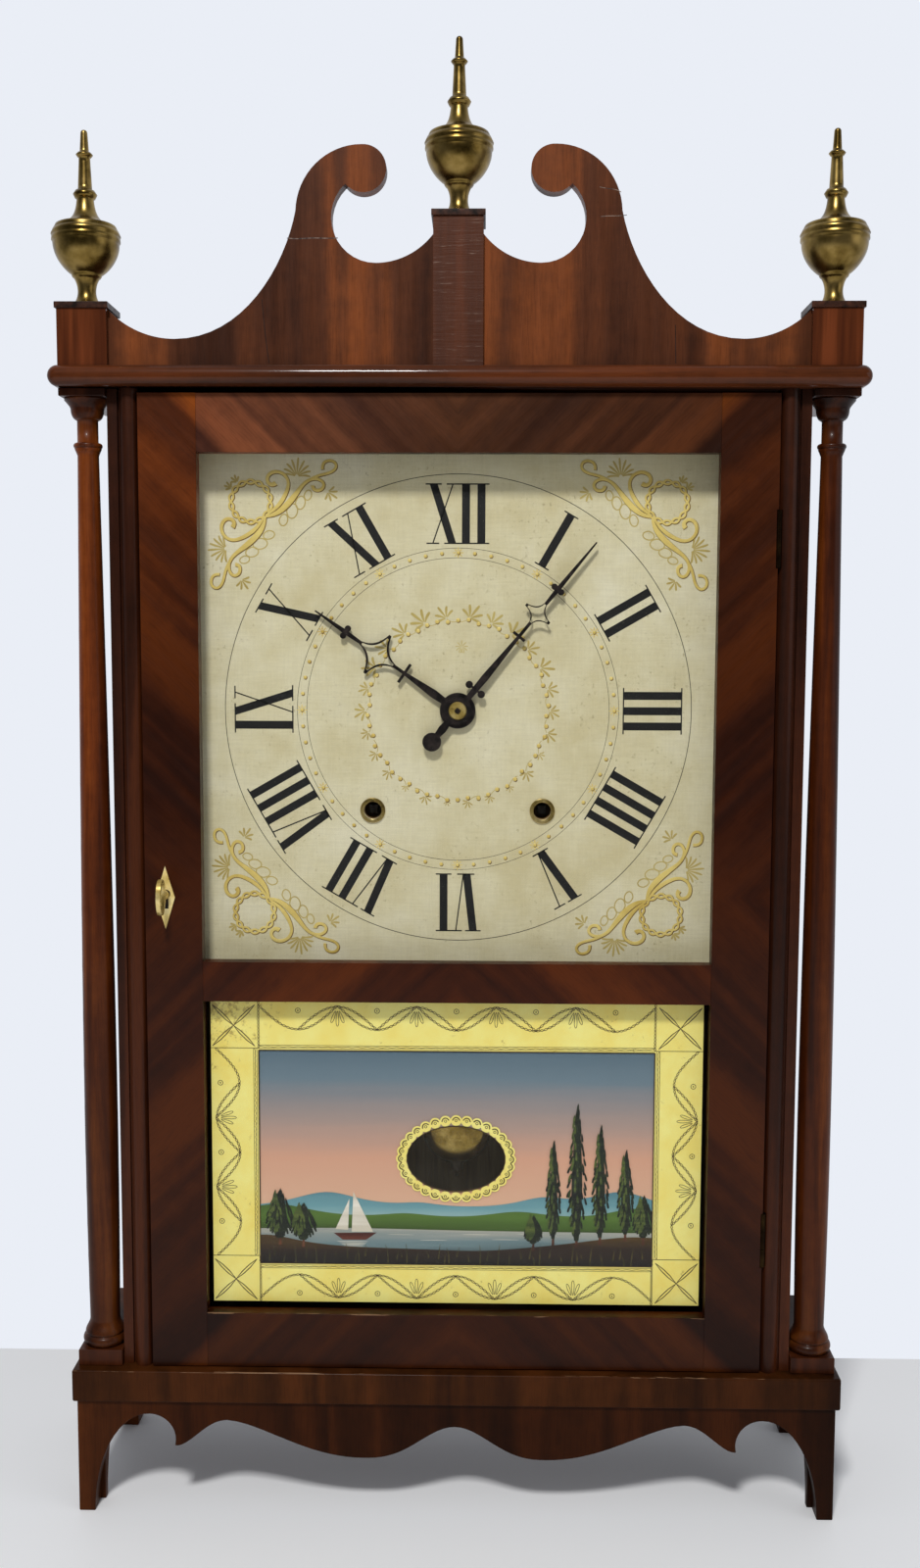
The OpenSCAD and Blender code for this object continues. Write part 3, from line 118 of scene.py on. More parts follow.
def mahogany(name, along, shades, band=24.0, gloss=0.1, wear=None, painted_light=None, shine=0.12,
             haze=0.14):
    """Polished mahogany: broad soft figure, faint streaks and pores, and a worn shellac gloss.

    Band is the figure's width in millimetres. Wear rubs an edge bare, and painted_light paints
    light and shade onto the wood along an axis.
    """
    made, add, skin, place = finish(name)
    run = stretched(add, place, along)
    figure = add("TexNoise", Vector=run, Scale=1000 / band, Detail=2.0, Roughness=0.5, Distortion=0.9)
    streak = add("TexNoise", Vector=run, Scale=1000 / streak_w, Detail=4.0, Roughness=0.6)
    mottle = add("TexNoise", Vector=place, Scale=1000 / mottle_w, Detail=3.0, Roughness=0.6)
    pore = add("TexNoise", Vector=run, Scale=1000 / pore_w, Detail=2.0, Roughness=0.55)
    depth = add("Math", figure, 0.78, operation="MULTIPLY")
    depth = add("Math", streak, 0.1, depth, operation="MULTIPLY_ADD")
    depth = add("Math", mottle, 0.12, depth, operation="MULTIPLY_ADD")
    dark, mid, light = shades
    colour = add("ValToRGB", depth, stops=[(0.37, dark), (0.5, mid), (0.63, light)])
    pores = add("ValToRGB", pore, stops=[(0.34, "#4c2e1e"), (0.52, "#ffffff")])
    colour = add("Mix", 0.2, colour, pores, data_type="RGBA", blend_type="MULTIPLY")
    if painted_light:
        axis, low, high, stops = painted_light
        level = add("MapRange", add("SeparateXYZ", place).outputs[axis], low, high)
        shade = add("ValToRGB", level, stops=stops)
        colour = add("Mix", 1.0, colour, shade, data_type="RGBA", blend_type="MULTIPLY")
    if wear:
        bare = worn_edge(add, place, wear)
        colour = add("Mix", bare, colour, "#7a5c42", data_type="RGBA")
    rough = add("Math", streak, 0.3, 0.25, operation="MULTIPLY_ADD")
    bump = add("Bump", Height=pore, Strength=0.04, Distance=0.0001)
    join(skin, Base_Color=colour, Roughness=rough, Normal=bump, Specular_IOR_Level=shine,
         Coat_Weight=gloss, Coat_Roughness=haze)
    return made


def worn_edge(add, place, wear):
    """Mask of ragged flecks where the front edge at a height is rubbed bare."""
    height, front, reach = wear
    split = add("SeparateXYZ", place)
    ragged = add("TexNoise", Vector=stretched(add, place, "x"), Scale=1000 / fleck_w, Detail=4.0,
                 Roughness=0.6)
    off = add("Math", split.outputs["Z"], height, operation="SUBTRACT")
    off = add("Math", off, operation="ABSOLUTE")
    edge = add("Math", off, reach, operation="LESS_THAN")
    fore = add("Math", split.outputs["Y"], front + 2 * reach, operation="LESS_THAN")
    edge = add("Math", edge, fore, operation="MULTIPLY")
    rubbed = add("Math", ragged, 0.58, operation="GREATER_THAN")
    return add("Math", edge, rubbed, operation="MULTIPLY")


def stand(name, shape, material, body, sharp=35, unit=0.001):
    """Makes a finished piece of a bmesh, drawn in millimetres unless unit says otherwise."""
    bmesh.ops.transform(shape, matrix=Matrix.Scale(unit, 4), verts=shape.verts)
    mesh = bpy.data.meshes.new(name)
    shape.to_mesh(mesh)
    shape.free()
    mesh.shade_smooth()
    mesh.set_sharp_from_angle(angle=radians(sharp))
    piece = bpy.data.objects.new(name, mesh)
    bpy.context.scene.collection.objects.link(piece)
    mesh.materials.append(material)
    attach(piece, body)
    return piece


def merged_copy(node):
    """A bmesh of a CAD node with its loose triangles joined into whole faces."""
    shape = bmesh.new()
    shape.from_mesh(nodes[node].data)
    bmesh.ops.remove_doubles(shape, verts=shape.verts, dist=1e-6)
    return shape


def weighted(mesh, limit=60):
    """Turns the normals round an eased edge towards the larger faces, so that flats stay flat."""
    around = [[] for _ in mesh.vertices]
    for face in mesh.polygons:
        for corner in face.vertices:
            around[corner].append(face)
    normals = []
    for face in mesh.polygons:
        for corner in face.vertices:
            total = Vector()
            for other in around[corner]:
                if face.normal.dot(other.normal) > cos(radians(limit)):
                    total += other.normal * other.area
            normals.append(total.normalized())
    mesh.normals_split_custom_set(normals)


def eased(node, material, body, width=0.6, segments=2):
    """Stands a copy in for a sawn and planed CAD piece, its edges rounded over a width in mm."""
    flat, crease = radians(0.5), radians(40)
    shape = merged_copy(node)
    bmesh.ops.dissolve_limit(shape, angle_limit=flat, verts=shape.verts, edges=shape.edges)
    edges = [e for e in shape.edges if len(e.link_faces) == 2 and e.calc_face_angle() > crease]
    bmesh.ops.bevel(shape, geom=edges, offset=width / 1000, offset_type="OFFSET", affect="EDGES",
                    segments=segments, profile=0.5, material=-1, clamp_overlap=True)
    piece = stand(node + "_eased", shape, material, body, sharp=60, unit=1.0)
    weighted(piece.data)
    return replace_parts(piece, node)


deck_low, deck_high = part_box("base_board")
edge_wear = 0.5 / 1000
# Painted light along the board: brightest in the middle, a little darker at the left end and darkest at
# the right.
base_painted_light = ("X", deck_low.x, deck_high.x, [(0.0, "#e8e8e8"), (0.5, "#ffffff"), (1.0, "#c8c8c8")])
base_wood = mahogany("base mahogany", "z", ("#2c1508", "#3d1f0a", "#50290f"), band=30.0, gloss=0.03,
                     wear=(deck_high.z, deck_low.y, edge_wear), painted_light=base_painted_light, shine=0.05)
eased("base_board", base_wood, "case", width=1.2, segments=3)
skirt_low, skirt_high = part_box("front_skirt")
# Painted light along the skirt: lightest at its left end, nearest the light.
skirt_painted_light = ("X", skirt_low.x, skirt_high.x,
              [(0.0, "#ffffff"), (0.07, "#f4f0ec"), (0.13, "#bcb8b4"), (1.0, "#b4b0ac")])
skirt_wood = mahogany("skirt mahogany", "z", ("#2f1607", "#43200a", "#572b0f"), band=28.0,
                      gloss=0.03, painted_light=skirt_painted_light, shine=0.05)
for skirt in ("front_skirt", "side_skirts"):
    eased(skirt, skirt_wood, "case")

# Case: two sides with a bead worked on each front edge, a pine back and the cornice board.
# The sides and cornice are solid mahogany, and the cornice has a round polished nose.
side_wood = mahogany("case mahogany", "z", ("#1d0c05", "#311508", "#46200c"), band=20.0, gloss=0.06)
for side in ("left_side", "right_side"):
    eased(side, side_wood, "case", width=0.4)
cornice_wood = mahogany("cornice mahogany", "x", ("#2c1208", "#43200d", "#5a2b11"), band=20.0,
                        gloss=0.34, shine=0.05, haze=0.1)


def smoothed(node, material, body, sharp=35):
    """Stands a smoothly shaded copy in for a turned CAD piece."""
    piece = stand(node + "_turned", merged_copy(node), material, body, sharp, unit=1.0)
    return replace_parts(piece, node)


smoothed("cornice_board", cornice_wood, "case", sharp=50)

# Width of the fibres in bare wood, in millimetres.
fibre_w = 1.2


def bare_wood(name, along, shades, ring=12.0, core=None):
    """Bare wood with soft growth rings and open grain, round an iron arbor if a core is given."""
    made, add, skin, place = finish(name)
    run = stretched(add, place, along)
    rings = add("TexNoise", Vector=run, Scale=1000 / ring, Detail=3.0, Roughness=0.5, Distortion=0.8)
    fibre = add("TexNoise", Vector=run, Scale=1000 / fibre_w, Detail=4.0, Roughness=0.65)
    depth = add("Math", rings, 0.55, operation="MULTIPLY")
    depth = add("Math", fibre, 0.45, depth, operation="MULTIPLY_ADD")
    dark, mid, light = shades
    colour = add("ValToRGB", depth, stops=[(0.36, dark), (0.5, mid), (0.64, light)])
    if core:
        core_x, core_z, core_r = core
        split = add("SeparateXYZ", place)
        x = add("Math", split.outputs["X"], core_x, operation="SUBTRACT")
        z = add("Math", split.outputs["Z"], core_z, operation="SUBTRACT")
        out = add("Math", z, z, operation="MULTIPLY")
        out = add("Math", x, x, out, operation="MULTIPLY_ADD")
        inside = add("Math", out, core_r ** 2, operation="LESS_THAN")
        colour = add("Mix", inside, colour, "#100d0b", data_type="RGBA")
    rough = add("Math", fibre, 0.3, 0.5, operation="MULTIPLY_ADD")
    bump = add("Bump", Height=fibre, Strength=0.2, Distance=0.0003)
    join(skin, Base_Color=colour, Roughness=rough, Normal=bump)
    return made


def paint(material, *names):
    """Gives CAD nodes that stay a finish."""
    for name in names:
        nodes[name].data.materials.clear()
        nodes[name].data.materials.append(material)


pine = bare_wood("old pine", "z", ("#6b4a28", "#8d6738", "#a98450"))
eased("back_board", pine, "case", width=0.4)
paint(pine, "movement_rails")

# Crest: a sawn scroll board faced with vertical mahogany veneer, held between three blocks.
# Two old breaks cross the right scroll's neck and one the left, closed with pale glue.
scroll_wood = mahogany("scroll veneer", "z", ("#371b0d", "#532b15", "#7a3f1b"), band=34.0,
                       gloss=0.06)
eased("scroll_board", scroll_wood, "case")


def close(shape):
    """Turns every face of a shape outward."""
    bmesh.ops.recalc_face_normals(shape, faces=shape.faces)
    return shape


def drawn(name, lines, back, rise, material, body, steps=5):
    """Lines drawn in x and z as low rounded strokes: each is points, half width and closed.

    A point may carry a third number, the share of the half width it has. Each stretch between
    two points is made in a number of steps.
    """
    curve = bpy.data.curves.new(name, "CURVE")
    curve.dimensions = "3D"
    curve.bevel_depth = 1.0
    curve.bevel_resolution = 1
    curve.use_fill_caps = True
    curve.resolution_u = steps
    for points, half, closed in lines:
        spline = curve.splines.new("NURBS")
        spline.points.add(len(points) - 1)
        spline.order_u = min(4, len(points))
        spline.use_endpoint_u = not closed
        spline.use_cyclic_u = closed
        for knot, (x, z, *share) in zip(spline.points, points):
            knot.co = (x, 0, z, 1)
            knot.radius = half * (share[0] if share else 1.0)
    holder = bpy.data.objects.new(name, curve)
    bpy.context.scene.collection.objects.link(holder)
    ready = holder.evaluated_get(bpy.context.evaluated_depsgraph_get())
    mesh = bpy.data.meshes.new_from_object(ready)
    bpy.data.objects.remove(holder)
    shape = bmesh.new()
    shape.from_mesh(mesh)
    bmesh.ops.scale(shape, vec=(1, rise, 1), verts=shape.verts)
    bmesh.ops.translate(shape, vec=(0, back, 0), verts=shape.verts)
    return stand(name, close(shape), material, body)


def mottled(name, size, stops, rough, span=0.0, along=None, detail=4.0, grit=0.6, metal=0.0,
            shine=0.5, bump=0.0, rise=0.0003, alpha=1.0):
    """Two shades in blotches about size millimetres wide, drawn out along an axis if one is given.

    A span makes the lighter blotches rougher, and bump raises them.
    """
    made, add, skin, place = finish(name)
    run = stretched(add, place, along) if along else place
    blotch = add("TexNoise", Vector=run, Scale=1000 / size, Detail=detail, Roughness=grit)
    colour = add("ValToRGB", blotch, stops=stops)
    join(skin, Base_Color=colour, Roughness=rough, Metallic=metal, Specular_IOR_Level=shine,
         Alpha=alpha)
    if span:
        join(skin, Roughness=add("Math", blotch, span, rough, operation="MULTIPLY_ADD"))
    if bump:
        join(skin, Normal=add("Bump", Height=blotch, Strength=bump, Distance=rise))
    return made


scroll_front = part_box("scroll_board")[0].y * 1000
breaks = [([(-88.8, 691.9), (-83.1, 691.2), (-76.0, 692.4), (-69.4, 691.6), (-62.4, 691.9)], 0.28,
           False),
          ([(72.6, 717.2), (76.5, 716.1), (80.5, 716.6), (83.6, 714.6)], 0.2, False),
          ([(73.2, 702.4), (77.6, 703.1), (82.7, 702.4), (86.6, 703.2)], 0.2, False)]
# Pale glue squeezed out of the mended breaks, dark where it has fallen out.
old_glue = mottled("old glue", 4.0, [(0.44, "#1a0c06"), (0.62, "#80695a")], rough=0.6)
drawn("scroll_breaks", breaks, scroll_front, 0.1, old_glue, "case")

# Widths of the wrinkles in the varnish, of the wood's shades and of the wrinkled patches, in
# millimetres.
wrinkle_w, shade_w, patch_w = 1.1, 8.0, 12.0


def crackled(name):
    """Mahogany blocks, the middle one's varnish wrinkled into fine level ridges with painted
    highlights.
    """
    middle_reach = 50.0
    made, add, skin, place = finish(name)
    across = add("SeparateXYZ", place).outputs["X"]
    across = add("Math", across, operation="ABSOLUTE")
    in_middle = add("Math", across, middle_reach / 1000, operation="LESS_THAN")
    shade = add("TexNoise", Vector=stretched(add, place, "z"), Scale=1000 / shade_w, Detail=3.0,
                Roughness=0.6)
    ridge = add("TexNoise", Vector=stretched(add, place, "x"), Scale=1000 / wrinkle_w, Detail=4.0,
                Roughness=0.7)
    patchy = add("TexNoise", Vector=place, Scale=1000 / patch_w, Detail=2.0, Roughness=0.55)
    ridge = add("Math", ridge, in_middle, operation="MULTIPLY")
    colour = add("ValToRGB", shade, stops=[(0.34, "#3a190b"), (0.5, "#4f2510"), (0.66, "#673218")])
    greyed = add("Math", in_middle, 0.6, operation="MULTIPLY")
    colour = add("Mix", greyed, colour, "#4a2817", data_type="RGBA")
    # The pale flecks along the ridges are a painted highlight where the wrinkles catch the light.
    ridge_highlights = add("ValToRGB", ridge, stops=[(0.62, "#000000"), (0.7, "#ffffff")])
    ridge_highlights = add("Math", ridge_highlights, patchy, operation="MULTIPLY")
    ridge_highlights = add("Math", ridge_highlights, 0.6, operation="MULTIPLY")
    colour = add("Mix", ridge_highlights, colour, "#b49c8a", data_type="RGBA")
    rough = add("Math", ridge, 0.4, 0.2, operation="MULTIPLY_ADD")
    bump = add("Bump", Height=ridge, Strength=0.4, Distance=0.0003)
    join(skin, Base_Color=colour, Roughness=rough, Normal=bump, Specular_IOR_Level=0.2,
         Coat_Weight=0.08)
    return made


eased("finial_blocks", crackled("crackled mahogany"), "case", width=0.5)


def dark_wood_and_shadow(name, rubbed="#3a2114"):
    """Blackened wood, rubbed brown; also the painted shadow in the keyhole and the collet's hole."""
    return mottled(name, 5.0, [(0.36, "#140a06"), (0.66, rubbed)], rough=0.2, span=0.4, shine=0.25,
                   bump=0.2)


joints = [([(-102.0, 661.0), (-101.0, 645.0), (-98.6, 628.5)], 0.22, False),
          ([(112.4, 648.0), (112.8, 638.0), (113.0, 628.5)], 0.22, False)]
drawn("scroll_joints", joints, scroll_front, 0.1, dark_wood_and_shadow("veneer joint", "#241008"), "case")
eased("block_caps", dark_wood_and_shadow("blackened caps", "#43210f"), "case", width=0.5)

# Finials: three brass urns with tall spires, turned on a lathe and polished. Each stands on a
# dowel in its block, and has gone olive with age.

# Widths of the clouds and spots in old brass, in millimetres.
cloud_w, spot_w = 9.0, 1.2


def aged_brass(name, dark, mid, light, rough=0.2, metal=1.0, grit=0.3, dull_below=None):
    """Brass gone olive with age, with dark spots and bright rubbed places.

    Below a height, if one is given, it is dull and black.
    """
    made, add, skin, place = finish(name)
    cloud = add("TexNoise", Vector=place, Scale=1000 / cloud_w, Detail=3.0, Roughness=0.5)
    spot = add("TexNoise", Vector=place, Scale=1000 / spot_w, Detail=3.0, Roughness=0.6)
    depth = add("Math", cloud, 1 - grit, operation="MULTIPLY")
    depth = add("Math", spot, grit, depth, operation="MULTIPLY_ADD")
    colour = add("ValToRGB", depth, stops=[(0.34, dark), (0.5, mid), (0.66, light)])
    gloss = add("Math", cloud, 0.2, rough - 0.1, operation="MULTIPLY_ADD")
    if dull_below is not None:
        height = add("SeparateXYZ", place).outputs["Z"]
        dull = add("Math", height, dull_below, operation="LESS_THAN")
        colour = add("Mix", dull, colour, "#1c1610", data_type="RGBA")
        gloss = add("Math", gloss, dull, operation="MAXIMUM")
        metal = add("Math", metal, dull, operation="SUBTRACT")
    bump = add("Bump", Height=spot, Strength=grit * 0.1, Distance=0.0002)
    join(skin, Base_Color=colour, Roughness=gloss, Metallic=metal, Normal=bump)
    return made


finial_brass = aged_brass("finial brass", "#604c22", "#826b38", "#9c834c", rough=0.3, grit=0.06)
for finials in ("corner_finials", "middle_finial"):
    smoothed(finials, finial_brass, "case", sharp=30)

# Pillars: two slender turned mahogany columns, held between square blocks on the base and under
# the cornice. They are lighter than the case. Painted light runs along each, lightest high on the
# shaft and darker towards the foot, and the right pillar is painted darker, as if in shade.
pillar_low, pillar_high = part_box("left_pillar")
pillar_painted_light = {
    "left_pillar": [(0.0, "#8c8680"), (0.07, "#b0aaa4"), (0.2, "#9e968f"), (0.36, "#a59a90"),
                    (0.53, "#cebfb2"), (0.69, "#f6e2d4"), (0.94, "#f6e8dc"), (0.97, "#ccc2ba"),
                    (1.0, "#a09890")],
    "right_pillar": [(0.0, "#8a847e"), (0.07, "#a49c96"), (0.2, "#b0a49a"), (0.36, "#9c9087"),
                     (0.53, "#9e9085"), (0.69, "#b0a092"), (0.84, "#bfae9e"), (0.92, "#a39388"),
                     (0.97, "#80766f"), (1.0, "#787068")]}
for pillar, stops in pillar_painted_light.items():
    pillar_wood = mahogany("mahogany of the " + pillar.replace("_", " "), "z",
                           ("#4a220c", "#6f3712", "#94521f"), band=12.0, gloss=0.08,
                           painted_light=("Z", pillar_low.z, pillar_high.z, stops))
    smoothed(pillar, pillar_wood, "case")
eased("pillar_blocks", side_wood, "case", width=0.5)

# Door: a frame faced with mahogany veneer laid on the slant, so that the figure of its
# four quarters meets in a diamond. Two panes of old glass lie in rebates behind.
door_low, door_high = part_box("lock_stile")
door_middle = (door_low.z + door_high.z) / 2


def diamond_figure(add, place):
    """Grain at 45 degrees, mirrored about the door's upright and level middle lines."""
    squeeze, pull = 0.7, 0.04
    split = add("SeparateXYZ", place)
    across = add("Math", split.outputs["X"], operation="ABSOLUTE")
    up = add("Math", split.outputs["Z"], door_middle, operation="SUBTRACT")
    up = add("Math", up, operation="ABSOLUTE")
    slant = add("Math", up, across, operation="SUBTRACT")
    slant = add("Math", slant, squeeze, operation="MULTIPLY")
    along = add("Math", up, across, operation="ADD")
    along = add("Math", along, pull, operation="MULTIPLY")
    return add("CombineXYZ", slant, along, split.outputs["Y"])


door_shades = ("#491f07", "#682f0a", "#8a430f")
rail_shades = ("#40241a", "#5f3824", "#7f4c30")
upright = ("Z", door_low.z, door_high.z)
level = ("X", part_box("lock_stile")[0].x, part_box("hinge_stile")[1].x)
ledge_low, ledge_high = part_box("bottom_rail")
ledge_wear = (ledge_high.z, ledge_low.y, edge_wear)
# The stops paint light onto each piece, as from the upper left: the lock stile lightens towards its
# top, the hinge stile less so, the top rail darkens from left to right, and the lower rails are shaded
# darker.
door_pieces = {
    "lock_stile": (door_shades, upright, [(0.0, "#8b8a88"), (0.3, "#8c8782"), (0.62, "#70675d"),
                                          (0.82, "#a6a09b"), (0.95, "#f1f1f1")]),
    "hinge_stile": (door_shades, upright, [(0.0, "#82807f"), (0.3, "#837e79"), (0.62, "#766c62"),
                                           (0.82, "#8f8b86"), (0.95, "#b0b0b0")]),
    "top_rail": (rail_shades, level, [(0.0, "#efd2c3"), (0.25, "#efe5dd"), (0.5, "#b4ae99"),
                                      (1.0, "#a08a66")]),
    "middle_rail": (door_shades, level, [(0.0, "#9b938c"), (1.0, "#9b938c")]),
    "bottom_rail": (door_shades, level, [(0.0, "#706e6c"), (0.5, "#8a8886"), (1.0, "#7a7876")])}
for rail, (shades, line, stops) in door_pieces.items():
    rail_wood = mahogany("veneer of the " + rail.replace("_", " "), "door", shades, band=30.0,
                         gloss=0.06, wear=ledge_wear if rail == "bottom_rail" else None,
                         painted_light=(*line, stops))
    eased(rail, rail_wood, "door", width=0.2, segments=1)


def clear_glass(name, alpha):
    """Thin old glass: nearly clear, with a faint wave in its gloss."""
    wave_w = 60.0
    made, add, skin, place = finish(name)
    wave = add("TexNoise", Vector=place, Scale=1000 / wave_w, Detail=2.0, Roughness=0.55)
    bump = add("Bump", Height=wave, Strength=0.05, Distance=0.002)
    join(skin, Base_Color="#0c0f0e", Roughness=0.03, Alpha=alpha, Normal=bump)
    made.surface_render_method = "BLENDED"
    return made


pane_glass = clear_glass("old window glass", alpha=0.03)
paint(pane_glass, "dial_glass", "tablet_glass")

# Tablet: the lower pane, painted on its back. A gold-leaf border with scratched swags
# frames a landscape with a lake, and a scalloped gilt rim frames a clear oval for the bob.
paint_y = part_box("tablet_glass")[1].y * 1000 + 0.05
oval_x, oval_z, window_x, window_z = 0.0, 199.2, 27.0, 18.5
picture_half, picture_low, picture_high = 109.0, 138.5, 260.0
border_half, border_low, border_high = 135.3, 116.4, 291.0


def leaf_gold(name, dark, mid, light, stained=None):
    """Gold leaf with thin stained places, more of them round a corner if one is given."""
    leaf_w, stain_w, thin, bare = 30.0, 4.0, 0.66, 0.78
    made, add, skin, place = finish(name)
    cloud = add("TexNoise", Vector=place, Scale=1000 / leaf_w, Detail=5.0, Roughness=0.65)
    stain = add("TexNoise", Vector=place, Scale=1000 / stain_w, Detail=4.0, Roughness=0.7)
    colour = add("ValToRGB", cloud, stops=[(0.3, mid), (0.62, light)])
    worn = stain
    if stained:
        x, z, reach = stained
        away = add("VectorMath", place, (x / 1000, paint_y / 1000, z / 1000), operation="DISTANCE")
        near = add("MapRange", away, 0.0, reach / 1000, 0.22, 0.0)
        worn = add("Math", stain, near, operation="ADD")
        thin, bare = 0.64, 0.76
    spots = add("ValToRGB", worn, stops=[(thin, "#000000"), (bare, "#ffffff")])
    spots = add("Math", spots, 0.6, operation="MULTIPLY")
    colour = add("Mix", spots, colour, dark, data_type="RGBA")
    bump = add("Bump", Height=stain, Strength=0.1, Distance=0.0002)
    join(skin, Base_Color=colour, Metallic=0.03, Roughness=0.38, Normal=bump)
    return made


def oval(x, z, half_x, half_z, count):
    """Points of an oval drawn in x and z."""
    return [(x + half_x * cos(a), z + half_z * sin(a)) for a in (tau * k / count for k in range(count))]


def rectangle(x0, x1, z0, z1):
    """Corners of a rectangle drawn in x and z."""
    return [(x0, z0), (x1, z0), (x1, z1), (x0, z1)]


def sheet_with_hole(name, outer, inner, y, material, body):
    """A thin painted layer drawn in x and z, with a hole, facing the front."""
    shape = bmesh.new()
    edges = []
    for outline in (outer, inner):
        verts = [shape.verts.new((x, y, z)) for x, z in outline]
        edges += [shape.edges.new((verts[i - 1], verts[i])) for i in range(len(verts))]
    bmesh.ops.triangle_fill(shape, edges=edges, use_beauty=True, use_dissolve=False,
                            normal=(0, -1, 0))
    return stand(name, shape, material, body)


def patch(shape, outline, back, depth):
    """Adds a flat shape drawn in x and z that stands forward from back."""
    face = shape.faces.new([shape.verts.new((x, back, z)) for x, z in outline])
    grown = bmesh.ops.extrude_face_region(shape, geom=[face], use_keep_orig=True)
    front = [v for v in grown["geom"] if isinstance(v, bmesh.types.BMVert)]
    bmesh.ops.translate(shape, verts=front, vec=(0, -depth, 0))


stain_reach = 46.0
border_gold = leaf_gold("border gold leaf", "#8a6420", "#fbe36c", "#fff48e",
                        stained=(-border_half, border_high, stain_reach))
border_edge = rectangle(-border_half, border_half, border_low, border_high)
picture_edge = rectangle(-picture_half, picture_half, picture_low, picture_high)
sheet_with_hole("tablet_border", border_edge, picture_edge, paint_y, border_gold, "door")


def graded_paint(name, stops, low, high, drift=8.0):
    """Oil paint whose colour changes with height, streaked by the brush."""
    stroke_w = 6.0
    made, add, skin, place = finish(name)
    streak = add("TexNoise", Vector=stretched(add, place, "x"), Scale=1000 / stroke_w, Detail=4.0,
                 Roughness=0.6)
    shift = add("Math", streak, drift / 1000, -drift / 2000, operation="MULTIPLY_ADD")
    height = add("SeparateXYZ", place).outputs["Z"]
    height = add("Math", height, shift, operation="ADD")
    level = add("MapRange", height, low / 1000, high / 1000)
    colour = add("ValToRGB", level, stops=stops)
    bump = add("Bump", Height=streak, Strength=0.05, Distance=0.0002)
    join(skin, Base_Color=colour, Roughness=0.4, Normal=bump)
    return made


sky_paint = graded_paint("evening sky", [(0.0, "#e2b493"), (0.3, "#dba587"), (0.52, "#ae968a"),
                                         (0.8, "#6d818b"), (1.0, "#566d7a")], low=172.0, high=262.0)
window_edge = oval(oval_x, oval_z, window_x, window_z, 64)
sheet_with_hole("tablet_sky", picture_edge, window_edge, paint_y + 0.6, sky_paint, "door")


def land(name, base, swells, low, lift, material):
    """A painted stretch below a skyline of swells, given by place, width and height."""
    xs = [picture_half * (i / 30 - 1) for i in range(61)]
    top = [(x, base + sum(h / (1 + ((x - c) / w) ** 2) for c, w, h in swells)) for x in xs]
    shape = bmesh.new()
    patch(shape, [(-picture_half, low)] + top + [(picture_half, low)], paint_y + lift, 0.05)
    return stand(name, close(shape), material, "door")


land("tablet_far_hills", 169.0, [(-72, 24, 10), (-20, 14, 2.5), (48, 18, 6), (92, 22, 11)],
     low=158.0, lift=0.5,
     material=graded_paint("far hills", [(0.0, "#a9c4bd"), (0.5, "#6fa0a6"), (1.0, "#47747f")],
                           low=160.0, high=184.0))
land("tablet_meadow", 163.0, [(-100, 26, 9), (-28, 18, 3), (34, 22, 5), (100, 20, 8)], low=150.0,
     lift=0.4,
     material=graded_paint("meadow", [(0.0, "#31480f"), (0.5, "#56762a"), (1.0, "#37541d")],
                           low=156.0, high=176.0))
land("tablet_lake", 157.5, [(-60, 60, 1.5)], low=140.0, lift=0.3,
     material=graded_paint("lake", [(0.0, "#3a4a4c"), (0.5, "#6f8688"), (1.0, "#b9b4a3")],
                           low=143.0, high=159.5, drift=12.0))
land("tablet_shore", 146.5, [(100, 44, 9), (-106, 24, 8), (14, 30, -2)], low=picture_low, lift=0.2,
     material=graded_paint("dark shore", [(0.0, "#0b0a05"), (0.5, "#2c1b0a"), (1.0, "#57400f")],
                           low=138.5, high=157.0, drift=14.0))

# Trees, bushes, reeds and a sailing boat, most of them put in with short strokes of a small
# brush. The paint lies behind the glass, so what stands in front was painted first.


def plain_paint(name, dark, light, size=6.0):
    """Oil paint brushed on in level strokes of two close shades."""
    return mottled(name, size, [(0.35, dark), (0.65, light)], rough=0.45, along="x", bump=0.08,
                   rise=0.0002)


def leaves(x, foot, tall, wide, count):
    """Short rising strokes that fill a tree's spindle shape, thickest below its middle."""
    strokes = []
    for k in range(count):
        t = (k + 0.5) / count
        reach = wide * sin(pi * t ** 0.7) * sin(2.4 * k)
        z = foot + tall * t
        strokes.append(([(x + reach, z, 0.5), (x + reach * 0.9, z + 2.2, 1.0),
                         (x + reach * 0.7 + 0.4, z + 4.6, 0.2)], 1.0, False))
    return strokes


stroke_rise = 0.005
tree_shapes = ((54, 154, 52, 4.2), (67, 153, 74, 5.6), (80, 155, 60, 4.8), (94, 157, 44, 4.6),
               (-98, 153, 24, 8.0), (-85, 152, 17, 7.5), (104, 155, 20, 6.0), (43, 151, 12, 5.0))
dark_leaves = [stroke for shape in tree_shapes for stroke in leaves(*shape, 70)]
dark_leaves += [([(x, foot, 0.3), (x - 0.2, foot + tall * 0.25, 0.8),
                  (x + 0.3, foot + tall * 0.55, 0.7), (x, foot + tall * 0.85, 0.4),
                  (x, foot + tall, 0.1)], wide * 0.85, False) for x, foot, tall, wide in tree_shapes]
lit_leaves = [stroke for x, foot, tall, wide in tree_shapes
              for stroke in leaves(x - 0.35 * wide, foot + 2, tall * 0.9, wide * 0.5, 22)]
trunks = [([(x, foot - 4, 1.2), (x + 0.3, foot, 0.8), (x, foot + tall * 0.4, 0.4)], 0.8, False)
          for x, foot, tall, wide in tree_shapes]
drawn("tablet_trunks", trunks, paint_y + 0.15, stroke_rise,
      plain_paint("trunks", "#3a1e0e", "#6b3a1c"), "door")
drawn("tablet_leaves", dark_leaves, paint_y + 0.12, stroke_rise,
      plain_paint("dark leaves", "#0c120a", "#222d12", size=2.0), "door")
